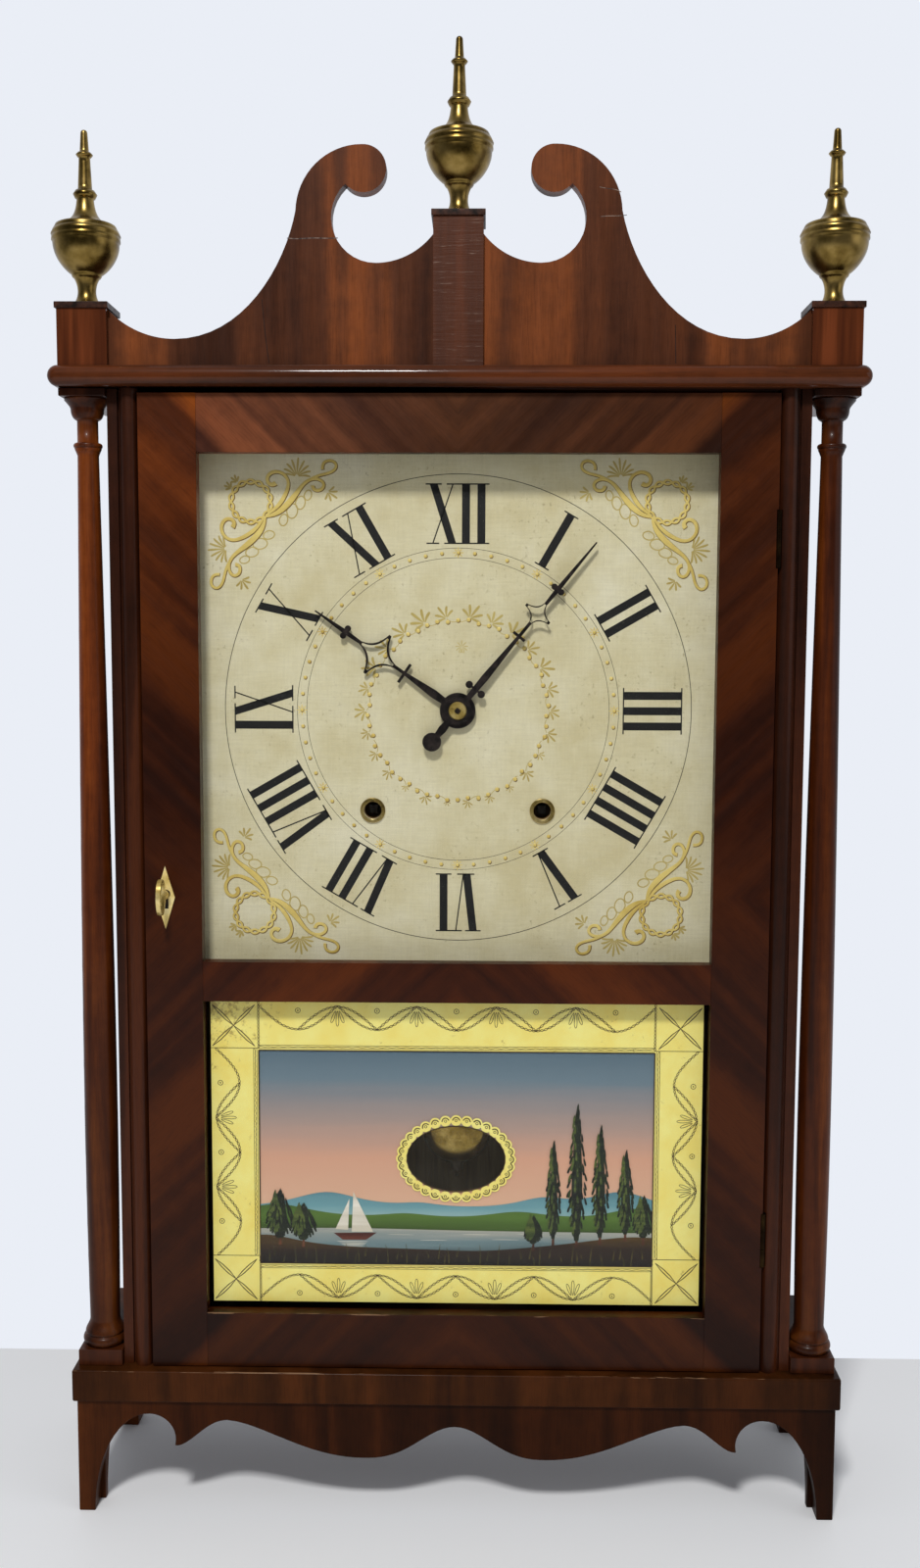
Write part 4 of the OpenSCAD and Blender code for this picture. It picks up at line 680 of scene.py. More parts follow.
drawn("tablet_lit_leaves", lit_leaves, paint_y + 0.1, stroke_rise,
      plain_paint("lit leaves", "#33431a", "#5d6a2c", size=2.0), "door")
reeds = []
for k in range(46):
    x = -104 + 208 * k / 45 + 2.0 * sin(5.1 * k)
    tall = 3.0 + 2.0 * sin(2.3 * k)
    reeds.append(([(x, 140 + 3 * sin(1.7 * k), 1.0), (x + 0.5, 141.5 + tall, 0.7),
                   (x + 1.6 * sin(3.9 * k), 142.5 + tall * 1.6, 0.2)], 0.5, False))
drawn("tablet_reeds", reeds, paint_y + 0.1, stroke_rise,
      plain_paint("reeds", "#2c2d10", "#5a4c18", size=2.0), "door")
sails = bmesh.new()
patch(sails, [(-58, 157.0), (-46, 157.0), (-57, 180)], paint_y + 0.16, 0.03)
patch(sails, [(-60, 158.0), (-59.2, 176), (-67, 158.5)], paint_y + 0.16, 0.03)
stand("tablet_sails", close(sails), plain_paint("sails", "#d8cfb8", "#f3eddc"), "door")
hull = bmesh.new()
patch(hull, [(-68, 156.2), (-63, 152.4), (-50, 152.4), (-44, 156.6)], paint_y + 0.16, 0.03)
stand("tablet_boat", close(hull), plain_paint("boat", "#4a1c10", "#7a3a20"), "door")
glints = [([(-66 + 1.2 * k, 151.4 - 0.8 * k, 0.3), (-58 + 0.4 * k, 151.3 - 0.8 * k, 1.0),
            (-49 - 0.8 * k, 151.4 - 0.8 * k, 0.3)], 0.35, False) for k in range(6)]
glints += [([(x, z, 0.2), (x + 7, z + 0.1, 1.0), (x + 15, z, 0.2)], 0.3, False)
           for x, z in ((-38, 155.5), (-20, 152.5), (4, 156), (20, 153.2), (-92, 150), (34, 156.6))]
drawn("tablet_glints", glints, paint_y + 0.18, stroke_rise,
      plain_paint("glints", "#c9c4b2", "#e6e0cc"), "door")

# A grey film over the clear oval, part dust and part painted reflection on the glass, which greys the
# dark of the case behind it.
dust_and_reflection = mottled("dust and painted reflection on glass", 12.0, [(0.3, "#5c564a"), (0.7, "#7c7668")], rough=0.9, shine=0.0,
               alpha=0.17)
dust_and_reflection.surface_render_method = "BLENDED"
dust_and_reflection_film = bmesh.new()
film_lap = 0.4
film_edge = oval(oval_x, oval_z, window_x + film_lap, window_z + film_lap, 64)
dust_and_reflection_film.faces.new([dust_and_reflection_film.verts.new((x, paint_y + 0.3, z)) for x, z in film_edge])
stand("tablet_window_dust_and_reflection", dust_and_reflection_film, dust_and_reflection, "door")

# Gilt rim of the oval: a ring of round scallops of gold leaf, each with a scratched eye and an
# arc round the eye's outer side.
rim_lobes, rim_x, rim_z, line_in = 32, 30.2, 21.9, 0.2
scallop_r, arc_r, eye_r = 3.1, 2.0, 0.8
rim = bmesh.new()
rim_lines = [(oval(oval_x, oval_z, window_x + line_in, window_z + line_in, 48), 0.35, True)]
for i, (x, z) in enumerate(oval(oval_x, oval_z, rim_x, rim_z, rim_lobes)):
    patch(rim, oval(x, z, scallop_r, scallop_r, 14), paint_y + 0.02 + 0.002 * (i % 3), 0.02)
    arc = [tau * (i / rim_lobes + k / 8 - 0.25) for k in range(5)]
    rim_lines.append(([(x + arc_r * cos(b), z + arc_r * sin(b)) for b in arc], 0.36, False))
    rim_lines.append((oval(x, z, eye_r, eye_r, 6), 0.2, True))
stand("tablet_rim", close(rim), border_gold, "door")
ink = plain_paint("scratched lines", "#2a1c08", "#4a3614", size=2.0)
drawn("tablet_rim_lines", rim_lines, paint_y - 0.03, 0.08, ink, "door")

# Scratched ornament of the border: interlaced swags of drawn chain with petals and rosettes, and
# a corner square with a cross at each corner. The lines go through the gold leaf to a dark ground.
border_lines = []


def straight(start, end, half):
    """A straight line, with a third point in its middle so that it can be drawn as a curve."""
    (x0, z0), (x1, z1) = start, end
    return [(x0, z0), ((x0 + x1) / 2, (z0 + z1) / 2), (x1, z1)], half, False


def chain(points, links):
    """Two thin strands that cross each other along a line, like a drawn chain."""
    half = 0.55
    strands = []
    for side in (-1, 1):
        strand = []
        for i in range(links * 4 + 1):
            t = i / (links * 4) * (len(points) - 1)
            k = min(int(t), len(points) - 2)
            (x0, z0), (x1, z1) = points[k], points[k + 1]
            x, z = x0 + (x1 - x0) * (t - k), z0 + (z1 - z0) * (t - k)
            span = ((x1 - x0) ** 2 + (z1 - z0) ** 2) ** 0.5
            off = side * half * abs(sin(pi * i / 4))
            strand.append((x - (z1 - z0) / span * off, z + (x1 - x0) / span * off))
        strands.append((strand, 0.2, False))
    return strands


def petal(root, tip, half):
    """The outline of a petal that widens from its root towards its tip."""
    (x0, z0), (x1, z1) = root, tip
    points = []
    for b in (tau * j / 10 for j in range(10)):
        part = 0.5 + 0.5 * cos(b)
        off = half * sin(b) * (0.4 + 0.6 * part)
        points.append((x0 + (x1 - x0) * part + off, z0 + (z1 - z0) * part))
    return points


def border_side(start, end, inward, swags, wide):
    """Swags along one side of the border, from corner square to corner square."""
    (x0, z0), (x1, z1) = start, end
    ux, uz = (x1 - x0) / swags, (z1 - z0) / swags
    nx, nz = inward
    size = (ux * ux + uz * uz) ** 0.5
    tx, tz = ux / size, uz / size

    def at(along, deep):
        """A point so far along this side and so far in from its edge."""
        return x0 + tx * along + nx * deep, z0 + tz * along + nz * deep

    swag_edge, swag_drop, arch_rise = 2.2, 13.5, 13.0
    rosette_deep, rosette_r = 5.0, 1.5
    petal_root, petal_tip, petal_half = 5.0, 14.0, 1.1
    bends = [(t / 10, sin(pi * t / 10)) for t in range(11)]
    for k in range(swags):
        hang = [at(size * (k + t), swag_edge + swag_drop * bend) for t, bend in bends]
        border_lines.extend(chain(hang, 20))
        if k + 1 < swags:
            arch = [at(size * (k + 0.5 + t), swag_edge + swag_drop - arch_rise * bend)
                    for t, bend in bends]
            border_lines.extend(chain(arch, 20))
        cx, cz = at(size * (k + 0.5), rosette_deep)
        border_lines.append((oval(cx, cz, rosette_r, rosette_r, 8), 0.2, True))
        border_lines.append(([(cx - 0.3, cz), (cx + 0.3, cz)], 0.5, False))
        if k == 0:
            continue
        for lean in (-2.0, 0.0, 2.0):
            outline = petal((size * k + lean * 0.5, petal_root),
                            (size * k + lean * 1.7, petal_tip - abs(lean)), petal_half)
            border_lines.append(([at(along, deep) for along, deep in outline], 0.18, True))
    rail_in, rail_wave, rail_half = 1.9, 0.5, 0.9
    deep = wide - rail_in
    rail = [at(size * swags * t / 80, deep + (rail_wave if t % 2 else -rail_wave)) for t in range(81)]
    border_lines.append((rail, 0.2, False))
    for edge in (deep - rail_half, deep + rail_half):
        border_lines.append(straight(at(0, edge), at(size * swags, edge), 0.15))


def leaf_bar(start, end):
    """One bar of a corner's cross: two pointed leaves that meet in the middle."""
    bow = 0.05
    (x0, z0), (x1, z1) = start, end
    dx, dz = x1 - x0, z1 - z0
    for side in (-bow, bow):
        for tip, belly in ((0.0, 0.25), (1.0, 0.75)):
            edge = [(x0 + dx * tip, z0 + dz * tip, 0.4),
                    (x0 + dx * belly + dz * side, z0 + dz * belly - dx * side, 1.0),
                    (x0 + dx * 0.5, z0 + dz * 0.5, 0.4)]
            border_lines.append((edge, 0.45, False))


corner = border_half - picture_half
side_x = border_half - corner
top_edge = 287.4
cross_out, cross_in, cross_foot, cross_head = 0.8, 2.0, 1.0, 2.0
border_side((-side_x, top_edge), (side_x, top_edge), (0, -1), 5, top_edge - picture_high)
border_side((side_x, border_low), (-side_x, border_low), (0, 1), 5, picture_low - border_low)
border_side((-border_half, border_low + corner), (-border_half, top_edge - corner), (1, 0), 3, corner)
border_side((border_half, top_edge - corner), (border_half, border_low + corner), (-1, 0), 3, corner)
for sx in (-1, 1):
    for low, high in ((border_low, border_low + corner), (top_edge - corner, top_edge)):
        x0, x1 = sx * (border_half - cross_out), sx * (side_x + cross_in)
        z0, z1 = low + cross_foot, high - cross_head
        leaf_bar((x0, z0), (x1, z1))
        leaf_bar((x0, z1), (x1, z0))
        border_lines.extend(chain([(sx * side_x, low), (sx * side_x, high)], 14))
        inner = high if low == border_low else low
        border_lines.append(straight((sx * border_half, inner), (sx * side_x, inner), 0.2))
for start, end in zip(picture_edge, picture_edge[1:] + picture_edge[:1]):
    border_lines.append(straight(start, end, 0.35))
drawn("tablet_border_lines", border_lines, paint_y - 0.03, 0.1, ink, "door", steps=2)

# Hinges, lock and key: brass butts let in flush, a brass diamond round the keyhole, an iron
# lock let into the stile's back, and a brass key left in the door.
door_brass = aged_brass("door brass", "#8f7634", "#ccb062", "#eed996", rough=0.26, metal=0.5, grit=0.1)
plate_brass = aged_brass("bright plate brass", "#c8aa58", "#ecd284", "#fae7a8", rough=0.3, metal=0.25,
                         grit=0.1)
eased("escutcheon", plate_brass, "door", width=0.2)
plate_low, plate_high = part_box("escutcheon")
hole_right, hole_up = 0.4, 2.0
hole_x = (plate_low.x + plate_high.x) * 500 + hole_right
hole_z = (plate_low.z + plate_high.z) * 500 + hole_up
# The keyhole is a thin dark patch laid on the plate, a painted shadow.
keyhole = bmesh.new()
slot_half, slot_foot, eye, eye_from, eye_sweep = 1.3, 8.0, 2.4, -57, 294
keyhole_outline = [(hole_x - slot_half, hole_z - slot_foot), (hole_x + slot_half, hole_z - slot_foot)]
for k in range(19):
    a = radians(eye_from + eye_sweep * k / 18)
    keyhole_outline.append((hole_x + eye * cos(a), hole_z + eye * sin(a)))
patch(keyhole, keyhole_outline, plate_low.y * 1000, 0.03)
stand("keyhole_shadow", close(keyhole), dark_wood_and_shadow("keyhole shadow", "#1c120c"), "door")
eased("door_key", door_brass, "key", width=0.3)
hinge_brass = aged_brass("hinge brass", "#140d07", "#22170c", "#352714", rough=0.5)
paint(hinge_brass, "door_hinge_leaves", "case_hinge_leaves", "hinge_pins", "lock_bolt")

# Dark iron with a faint brown rust.
iron = mottled("old iron", 4.0, [(0.38, "#1e1c1b"), (0.66, "#4a3c32")], rough=0.35, span=0.4,
               detail=5.0, grit=0.65, metal=0.8, bump=0.3, rise=0.0004)
paint(iron, "lock_case")

# Dial: a wooden board painted cream, with black numerals, a dotted minute ring, a gilt wreath
# and gilt scrolls in the corners. Brass rings line the two winding holes.
dial_low, dial_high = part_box("dial_board")
dial_y = dial_low.y * 1000
dial_z = (dial_low.z + dial_high.z) * 500
paint_t, bare_from = 0.06, 2.0

# Widths of the dial's brush marks, specks, bloom and dirty places, and of the grain behind, in
# millimetres. Real brush marks are finer, and are drawn this coarse so that they show.
brush_w, speck_w, bloom_w, dirt_w, board_w = 0.7, 2.2, 50.0, 30.0, 9.0


def dial_paint(name):
    """Cream oil paint with faint brush marks, brown specks and a yellowed bloom, bare behind."""
    made, add, skin, place = finish(name)
    across, upward = stretched(add, place, "x"), stretched(add, place, "z")
    brush = add("TexNoise", Vector=across, Scale=1000 / brush_w, Detail=3.0, Roughness=0.6)
    weave = add("TexNoise", Vector=upward, Scale=1000 / brush_w, Detail=2.0, Roughness=0.5)
    bloom = add("TexNoise", Vector=place, Scale=1000 / bloom_w, Detail=5.0, Roughness=0.65)
    speck = add("TexNoise", Vector=place, Scale=1000 / speck_w, Detail=4.0, Roughness=0.65)
    cluster = add("TexNoise", Vector=place, Scale=1000 / dirt_w, Detail=2.0, Roughness=0.55)
    rings = add("TexNoise", Vector=across, Scale=1000 / board_w, Detail=4.0, Roughness=0.6)
    colour = add("ValToRGB", bloom, stops=[(0.34, "#cdc193"), (0.5, "#d9d0a8"), (0.66, "#e2dbba")])
    lines = add("Math", brush, 0.6, operation="MULTIPLY")
    lines = add("Math", weave, 0.4, lines, operation="MULTIPLY_ADD")
    lines = add("ValToRGB", lines, stops=[(0.4, "#000000"), (0.62, "#ffffff")])
    lines = add("Math", lines, 0.22, operation="MULTIPLY")
    colour = add("Mix", lines, colour, "#b3a988", data_type="RGBA")
    dirt = add("ValToRGB", speck, stops=[(0.6, "#000000"), (0.72, "#ffffff")])
    cluster = add("ValToRGB", cluster, stops=[(0.45, "#303030"), (0.62, "#ffffff")])
    dirt = add("Math", dirt, cluster, operation="MULTIPLY")
    dirt = add("Math", dirt, 0.6, operation="MULTIPLY")
    colour = add("Mix", dirt, colour, "#857448", data_type="RGBA")
    wood = add("ValToRGB", rings, stops=[(0.36, "#7a5630"), (0.64, "#a37d4a")])
    depth = add("SeparateXYZ", place).outputs["Y"]
    behind = add("Math", depth, dial_low.y + bare_from / 1000, operation="GREATER_THAN")
    colour = add("Mix", behind, colour, wood, data_type="RGBA")
    rough = add("Math", brush, 0.25, 0.4, operation="MULTIPLY_ADD")
    bump = add("Bump", Height=brush, Strength=0.12, Distance=0.0002)
    join(skin, Base_Color=colour, Roughness=rough, Normal=bump)
    return made


eased("dial_board", dial_paint("cream dial paint"), "case", width=0.3)
grommet_brass = aged_brass("grommet brass", "#6d5a2c", "#a8904e", "#d8c284", metal=0.7)
eased("winding_grommets", grommet_brass, "case", width=0.4)


def round_dial(along, out, angle):
    """A point of the dial, from its place on a numeral: along it, and out from the centre."""
    a = radians(angle)
    return out * sin(a) + along * cos(a), dial_z + out * cos(a) - along * sin(a)


# Numerals: broad strokes and hairlines, each closed by thin serifs, painted with their feet
# towards the centre.
foot_r, head_r = 90.0, 121.5
broad, hair, broad_serif, hair_serif = 4.3, 0.7, 4.3, 3.4
advance = {"I": 8.3, "V": 15.0, "X": 16.5}
lean_of = {"I": [(0.0, 0.0, broad)], "V": [(-4.6, -1.0, broad), (4.9, 0.8, hair)],
           "X": [(-5.0, 5.0, broad), (5.4, -5.4, hair)]}
numerals = bmesh.new()
for hour, text in enumerate(("XII", "I", "II", "III", "IIII", "V", "VI", "VII", "VIII", "IX", "X",
                             "XI")):
    pen = -sum(advance[c] for c in text) / 2
    for letter in text:
        middle = pen + advance[letter] / 2
        pen += advance[letter]
        for top, foot, width in lean_of[letter]:
            corners = [(middle + foot - width / 2, foot_r), (middle + foot + width / 2, foot_r),
                       (middle + top + width / 2, head_r), (middle + top - width / 2, head_r)]
            patch(numerals, [round_dial(x, r, 30 * hour) for x, r in corners], dial_y, paint_t)
            for x, r in ((top, head_r), (foot, foot_r)):
                serif = broad_serif if width == broad else hair_serif
                bar = [(middle + x - serif, r - hair / 2), (middle + x + serif, r - hair / 2),
                       (middle + x + serif, r + hair / 2), (middle + x - serif, r + hair / 2)]
                patch(numerals, [round_dial(a, b, 30 * hour) for a, b in bar], dial_y,
                      paint_t + 0.01)

# Black paint, rubbed through to the cream in fine scratches.
ink_black = mottled("numeral black", 1.2, [(0.62, "#0d0c09"), (0.74, "#8d8770")], rough=0.35,
                    span=0.3, detail=5.0, grit=0.75)
stand("dial_numerals", close(numerals), ink_black, "case")


def ring(radius, steps=72):
    """Points of a circle round the dial's centre."""
    return [round_dial(0, radius, 360 * i / steps) for i in range(steps)]


outer_r, minute_r, track_half = 127.0, 85.0, 2.6
track_lines = [(ring(outer_r), 0.2, True), (ring(minute_r + track_half), 0.13, True),
               (ring(minute_r - track_half), 0.13, True)]
drawn("dial_circles", track_lines, dial_y, 0.3, ink_black, "case")

# Gilt work, laid on the cream paint in raised strokes of gold size, some of it worn thin. A brown
# painted shadow along the lower right of dots and scrolls makes them stand out.
gilt = leaf_gold("gilt", "#6b5020", "#c4a64c", "#e6cf78")
pale_gilt = leaf_gold("thin gilt", "#7d6830", "#a9934a", "#c2ae66")
gilt_shade = plain_paint("brown shade of the gilt", "#5e461c", "#86672e", size=2.0)
dots = bmesh.new()
dot_shades = bmesh.new()


def dot(along, out, angle, size):
    """A raised drop of gilt on the dial, with a flatter brown painted shadow to its lower right."""
    x, z = round_dial(along, out, angle)
    for shape, wide, rise, off in ((dots, size, 0.4, 0.0), (dot_shades, size * 1.12, 0.15, 0.22)):
        place = (Matrix.Translation((x + off, dial_y, z - off))
                 @ Matrix.Diagonal((wide, wide * rise, wide, 1)))
        bmesh.ops.create_uvsphere(shape, u_segments=10, v_segments=6, radius=1.0, matrix=place)


def fan(x, z, heading, reach, petals, spread):
    """Strokes of a palmette, spread out from its foot."""
    strokes = []
    for k in range(petals):
        lean = 2 * k / (petals - 1) - 1
        far = reach * (1 - 0.3 * abs(lean))
        points = []
        for part, turn, share in ((0.15, 0.9, 0.3), (0.5, 0.95, 0.8), (0.85, 1.1, 1.2),
                                  (1.0, 1.2, 0.5)):
            a = radians(heading + spread * lean * turn)
            points.append((x + far * part * cos(a), z + far * part * sin(a), share))
        strokes.append(points)
    return strokes


# Minute ring: a raised gilt dot for each minute between two fine circles, with eight rays round
# the dot at each hour.
star_in, star_out = 1.3, 2.9
stars = []
for minute in range(60):
    dot(0, minute_r, 6 * minute, 1.0)
    if minute % 5 == 0:
        x, z = round_dial(0, minute_r, 6 * minute)
        for a in (tau * ray / 8 for ray in range(8)):
            stars.append(([(x + star_in * cos(a), z + star_in * sin(a), 1.0),
                           (x + star_out * cos(a), z + star_out * sin(a), 0.4)], 0.42, False))

# Wreath: a ring of raised gilt dots with half palmettes that lean outward, larger above than
# below. The palmettes are flatter and paler than the dots.
wreath_r, wreath_dots, wreath_sprigs = 48.8, 54, 26
for bead in range(wreath_dots):
    dot(0, wreath_r + 0.7 * sin(2.1 * bead), 360 * bead / wreath_dots, 1.15)
sprigs = []
for k in range(wreath_sprigs):
    turn = 360 * (k + 0.5) / wreath_sprigs
    lean = 32 if turn < 180 else -32
    size = 0.72 + 0.28 * cos(radians(turn)) + 0.12 * sin(3.7 * k)
    x, z = round_dial(0, wreath_r + 1.2, turn)
    for stroke in fan(x, z, 90 - turn - lean, 9.0 * size, 5, 62):
        sprigs.append((stroke, 0.95 * size, False))
    tail = [round_dial(0, wreath_r + 1.0, turn), round_dial(-1.0, wreath_r - 1.8, turn - lean / 8),
            round_dial(0, wreath_r - 0.2, turn - lean / 4)]
    sprigs.append((tail, 0.2, False))
burst_x, burst_r, burst_reach = 2.0, 34.0, 4.0
x, z = round_dial(burst_x, burst_r, 0)
sprigs += [(stroke, 0.3, False) for stroke in fan(x, z, 90, burst_reach, 11, 165)]
stand("dial_dots", dots, gilt, "case")
stand("dial_dot_shades", dot_shades, gilt_shade, "case")
drawn("dial_stars", stars, dial_y, 0.3, gilt, "case")
drawn("dial_wreath", sprigs, dial_y, 0.15, pale_gilt, "case")

# Corners: leafy scrolls that part from a junction, a ring of twisted rope, pale palmettes and
# a chain of loops. One half is drawn for the upper right corner and turned over for the rest.
scroll_strokes = [
    [(104.1, 104.0, 0.5), (98.8, 104.8, 1.3), (93.5, 109.0, 1.9), (89.2, 113.8, 1.7),
     (86.0, 118.2, 1.2), (83.3, 121.7, 1.0), (79.6, 124.2, 0.9), (75.7, 124.4, 0.9),
     (72.5, 122.6, 0.9), (72.3, 119.8, 0.9), (74.8, 117.6, 0.9), (78.3, 118.3, 1.0),
     (78.5, 120.6, 1.1)],
    [(103.9, 104.7, 0.5), (98.8, 107.9, 1.0), (95.1, 112.2, 1.3), (92.4, 117.3, 1.1),
     (91.1, 121.8, 0.9), (92.7, 126.0, 0.9), (96.7, 128.3, 1.0), (100.9, 127.7, 1.1),
     (103.2, 125.0, 1.0), (102.8, 121.9, 1.0), (100.2, 120.4, 1.2), (98.3, 121.9, 1.4)],
    [(85.0, 119.4, 0.5), (81.7, 123.0, 0.8), (76.4, 125.8, 0.8), (71.9, 126.7, 0.8),
     (67.9, 127.8, 0.8), (65.3, 130.3, 0.8), (66.3, 133.4, 0.8), (70.0, 134.5, 0.8),
     (73.5, 132.4, 0.8), (73.1, 129.1, 0.9)]]
leaf_strokes = fan(87.0, 125.0, 95, 10.5, 9, 70) + fan(119.0, 122.0, 55, 5.0, 4, 40)
leaf_strokes += fan(70.5, 117.5, 215, 6.5, 5, 60)
for step, size in ((0.0, 2.6), (4.08, 3.4), (8.5, 3.8), (13.26, 3.0)):
    x, z = 81.0 + step, 115.5 - step
    leaf_strokes.append([(x + size * 0.8 * cos(a) - 0.4 * sin(a), z + size * 1.1 * sin(a), 0.5)
                         for a in (tau * j / 10 for j in range(11))])
rope_c, rope_r, rope_wave, rope_turns, rope_steps = 112.0, 10.7, 1.2, 7, 84
shade_off, shade_more = 0.25, 0.22
gilt_lines, leaf_lines, shade_lines = [], [], []
for sx in (-1, 1):
    for sz in (-1, 1):
        for strokes, lines, half in ((scroll_strokes, gilt_lines, 1.0),
                                     (leaf_strokes, leaf_lines, 0.75)):
            for stroke in strokes:
                for turned in (stroke, [(z, x, w) for x, z, w in stroke]):
                    lines.append(([(sx * x, dial_z + sz * z, w) for x, z, w in turned], half, False))
                    if half == 1.0:
                        shade_lines.append(([(sx * x + shade_off, dial_z + sz * z - shade_off,
                                              w + shade_more) for x, z, w in turned], half, False))
        for phase in (0, pi):
            strand = []
            for a in (tau * k / rope_steps for k in range(rope_steps)):
                far = rope_r + rope_wave * sin(rope_turns * a + phase)
                strand.append((sx * (rope_c + far * cos(a)), dial_z + sz * (rope_c + far * sin(a))))
            gilt_lines.append((strand, 0.6, True))
            shade_lines.append(([(x + shade_off, z - shade_off) for x, z in strand], 0.85, True))
drawn("dial_scrolls", gilt_lines, dial_y, 0.35, gilt, "case")
drawn("dial_scroll_shades", shade_lines, dial_y, 0.12, gilt_shade, "case")
drawn("dial_leaves", leaf_lines, dial_y, 0.15, pale_gilt, "case")

# Hands: cast and blackened, each with an open star and a pair of balls. A brass collet with a
# square hole holds the minute hand on its arbor.
blackened = mottled("blackened hands", 4.0, [(0.4, "#15100e"), (0.7, "#3a302c")], rough=0.3,
                    span=0.3, metal=0.5)
for hand in ("minute", "hour"):
    eased(hand + "_hand", blackened, hand + "_train", width=0.2)
hand_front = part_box("minute_hand")[0].y * 1000
collet_r, collet_face_r, collet_t, square_r, square_turn = 4.9, 4.4, 1.2, 1.9, 6
collet = bmesh.new()
bmesh.ops.create_cone(collet, segments=40, radius1=collet_r, radius2=collet_face_r, depth=collet_t,
                      cap_ends=True, matrix=Matrix.Translation((0, hand_front - collet_t / 2, dial_z))
                      @ Matrix.Rotation(radians(90), 4, "X"))
collet_brass = aged_brass("collet brass", "#9a803a", "#d2b562", "#efd894", metal=0.6)
stand("hand_collet", close(collet), collet_brass, "minute_train")
# The square hole is a thin dark patch on the collet's face, a painted shadow.
square = bmesh.new()
socket = [(square_r * cos(a), dial_z + square_r * sin(a))
          for a in (radians(square_turn + 90 * k) for k in range(4))]
patch(square, socket, hand_front - collet_t, 0.05)
stand("collet_hole_shadow", close(square), dark_wood_and_shadow("collet shadow"), "minute_train")

# Movement: oak plates, cherry wheels and iron arbors, hidden behind the dial, with the brass
# pendulum, a cast bell, iron weights and flax cords.
oak = bare_wood("bare oak", "z", ("#5a3c1c", "#7d5a30", "#9a774a"))
paint(oak, "front_plate", "back_plate", "plate_posts")
cherry_shades, cherry_ring, arbor_r = ("#4a2412", "#6e3c20", "#8c5530"), 6.0, 4.5
cherry = bare_wood("bare cherry", "y", cherry_shades, cherry_ring)
for drum in ("time_drum", "strike_drum"):
    drum_low, drum_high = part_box(drum)
    axis = ((drum_low.x + drum_high.x) / 2, (drum_low.z + drum_high.z) / 2, arbor_r / 1000)
    paint(bare_wood("cherry round the arbor of the " + drum.replace("_", " "), "y", cherry_shades,
                    cherry_ring, axis), drum)
paint(cherry, "time_great_wheel", "time_second_wheel", "time_third_wheel",
      "escape_wheel", "strike_great_wheel", "strike_pin_wheel", "time_pulley",
      "strike_pulley")
paint(iron, "verge", "centre_arbor", "strike_hammer", "time_weight", "strike_weight")
paint(hinge_brass, "suspension_cock", "hour_wheel", "minute_wheel", "pendulum_rod")
nut_h = 5.4
bob_brass = aged_brass("bob brass", "#6a5320", "#a0853c", "#c8ad64",
                       dull_below=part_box("pendulum_bob")[0].z + nut_h / 1000)
smoothed("pendulum_bob", bob_brass, "pendulum")
bell_metal = aged_brass("bell metal", "#4a3c20", "#6e5c34", "#8a7648", rough=0.35)
smoothed("bell", bell_metal, "case")


def flax(name):
    """Twisted flax cord, its strands drawn as a wave that repeats every 0.35 mm on a slant."""
    made, add, skin, place = finish(name)
    slant, strand_w, wave_repeat = radians(40), 0.34907, tau / 20
    lay = add("Mapping", Vector=place, Rotation=(0, slant, 0))
    twist = add("TexWave", Vector=lay, Scale=1000 * wave_repeat / strand_w, Distortion=1.5,
                bands_direction="Z")
    strands = twist.outputs["Fac"]
    colour = add("ValToRGB", strands, stops=[(0.2, "#6b5430"), (0.8, "#b89b66")])
    bump = add("Bump", Height=strands, Strength=0.5, Distance=0.0003)
    join(skin, Base_Color=colour, Roughness=0.85, Normal=bump)
    return made


# Cords: each leaves the outer side of its drum, crosses to the inner side of its pulley and
# drops to its weight. Winding takes up the hanging stretch, so that stretch shortens.
cord_r, drum_lay, pulley_lay, turn_steps = 0.8, 13.6, 11.0, 18
cord_flax = flax("flax cord")


def middle(node):
    """The middle of a CAD node in millimetres."""
    low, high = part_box(node)
    return [(a + b) * 500 for a, b in zip(low, high)]


for which in ("time", "strike"):
    drum_x, _, drum_z = middle(which + "_drum")
    pulley_x, pulley_y, pulley_z = middle(which + "_pulley")
    side = 1 if drum_x > 0 else -1
    across, rise = abs(pulley_x - drum_x), pulley_z - drum_z
    length = (across ** 2 + rise ** 2) ** 0.5
    leave = atan2(rise, across) - pi / 2 + asin((drum_lay + pulley_lay) / length)
    route = []
    for x, z, lay, start, end in ((drum_x, drum_z, drum_lay, leave - pi, leave),
                                  (pulley_x, pulley_z, pulley_lay, leave + pi, 0.0)):
        for a in (start + (end - start) * k / turn_steps for k in range(turn_steps + 1)):
            route.append((x + side * lay * cos(a), z + lay * sin(a)))
    run = drawn(which + "_cord_run", [(route, cord_r, False)], pulley_y, 1.0, cord_flax, "case")
    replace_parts(run, which + "_cord")
    fall_x, fall_foot = pulley_x + side * pulley_lay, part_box(which + "_cord")[0].z * 1000
    fall_line = straight((fall_x, pulley_z), (fall_x, fall_foot), cord_r)
    fall = drawn(which + "_cord_fall", [fall_line], pulley_y, 1.0, cord_flax, "case")
    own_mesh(fall)

# Stage: a pale floor, a white surround and soft light from the upper left front. Reflections see
# a dim room in front of the clock and a bright surround behind it.
floor = bmesh.new()
floor_half, floor_front, floor_back = 1.6, -1.6, 0.145
floor.faces.new([floor.verts.new(c) for c in (
    (-floor_half, floor_front, 0), (floor_half, floor_front, 0), (floor_half, floor_back, 0),
    (-floor_half, floor_back, 0))])
floor_mesh = bpy.data.meshes.new("floor")
floor.to_mesh(floor_mesh)
floor.free()
floor_piece = bpy.data.objects.new("floor", floor_mesh)
bpy.context.scene.collection.objects.link(floor_piece)
floor_paint, _, floor_skin, _ = finish("pale floor")
join(floor_skin, Base_Color="#fafafa", Roughness=0.6)
floor_mesh.materials.append(floor_paint)

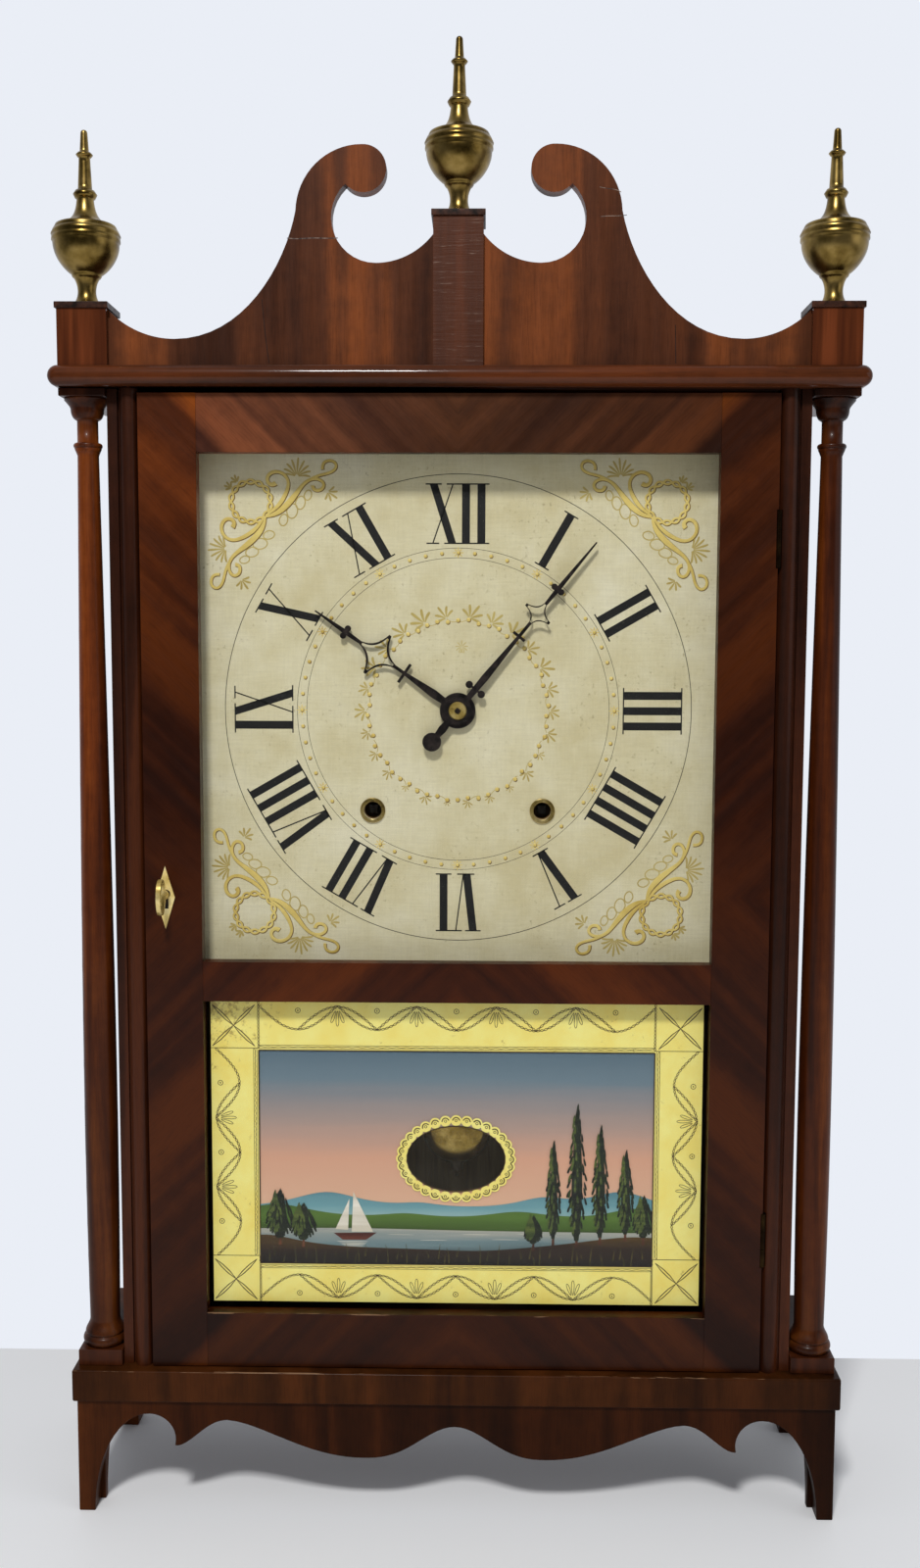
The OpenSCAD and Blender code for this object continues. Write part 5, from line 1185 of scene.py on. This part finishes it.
world = bpy.data.worlds.new("surround")
world.use_nodes = True
bpy.context.scene.world = world
add = partial(add_node, world.node_tree)
soft_light, shine_ahead, shine_behind, shine_turn = 0.36, 0.08, 0.95, 0.5
ray = add("LightPath").outputs
heading = add("SeparateXYZ", add("TexCoord").outputs["Generated"]).outputs["Y"]
shine = add("MapRange", heading, -shine_turn, shine_turn, shine_ahead, shine_behind)
seen = add("Math", ray["Is Camera Ray"], ray["Is Transmission Ray"], operation="MAXIMUM")
shine = add("Math", ray["Is Glossy Ray"], shine, operation="MULTIPLY")
soft = add("Math", ray["Is Diffuse Ray"], soft_light, operation="MULTIPLY")
strength = add("Math", shine, soft, operation="MAXIMUM")
strength = add("Math", seen, strength, operation="MAXIMUM")
join(world.node_tree.nodes["Background"], Color="#eaeef6", Strength=strength)


def lamp(name, place, aim, size, power):
    """A soft square lamp pointed at a place."""
    light = bpy.data.lights.new(name, "AREA")
    light.size = size
    light.energy = power
    holder = bpy.data.objects.new(name, light)
    holder.location = place
    holder.rotation_euler = (Vector(aim) - Vector(place)).to_track_quat("-Z", "Y").to_euler()
    bpy.context.scene.collection.objects.link(holder)


lamp("key light", (-0.25, -1.5, 2.05), aim=(0, 0, 0.42), size=0.28, power=35.0)
lamp("fill light", (1.9, -0.9, 0.9), aim=(0, 0, 0.4), size=1.2, power=4.0)

# Camera: the photograph's place and lens, for a frame 939 wide and 1600 high. It looks down by
# about five degrees, is turned and rolled slightly, and stands 0.79 m in front of the base.
focal_px, image_h, film = 1531.4, 1600.0, 24.0
pitch, yaw, roll = radians(5.45), radians(-1.02), radians(-0.19)
camera_x, camera_y, camera_z = 0.0159, -0.7909 + deck_low.y, 0.4848
forward = Vector((sin(yaw) * cos(pitch), cos(yaw) * cos(pitch), -sin(pitch)))
right = Vector((cos(yaw), -sin(yaw), 0.0))
down = forward.cross(right)
tilted_right = right * cos(roll) + down * sin(roll)
tilted_down = down * cos(roll) - right * sin(roll)
camera_data = bpy.data.cameras.new("photo camera")
camera_data.sensor_fit = "VERTICAL"
camera_data.sensor_height = film
camera_data.lens = focal_px / image_h * film
camera = bpy.data.objects.new("photo camera", camera_data)
turn = Matrix((tilted_right, -tilted_down, -forward)).transposed().to_4x4()
camera.matrix_world = Matrix.Translation((camera_x, camera_y, camera_z)) @ turn
bpy.context.scene.collection.objects.link(camera)
bpy.context.scene.camera = camera
bpy.context.scene.view_settings.view_transform = "Standard"
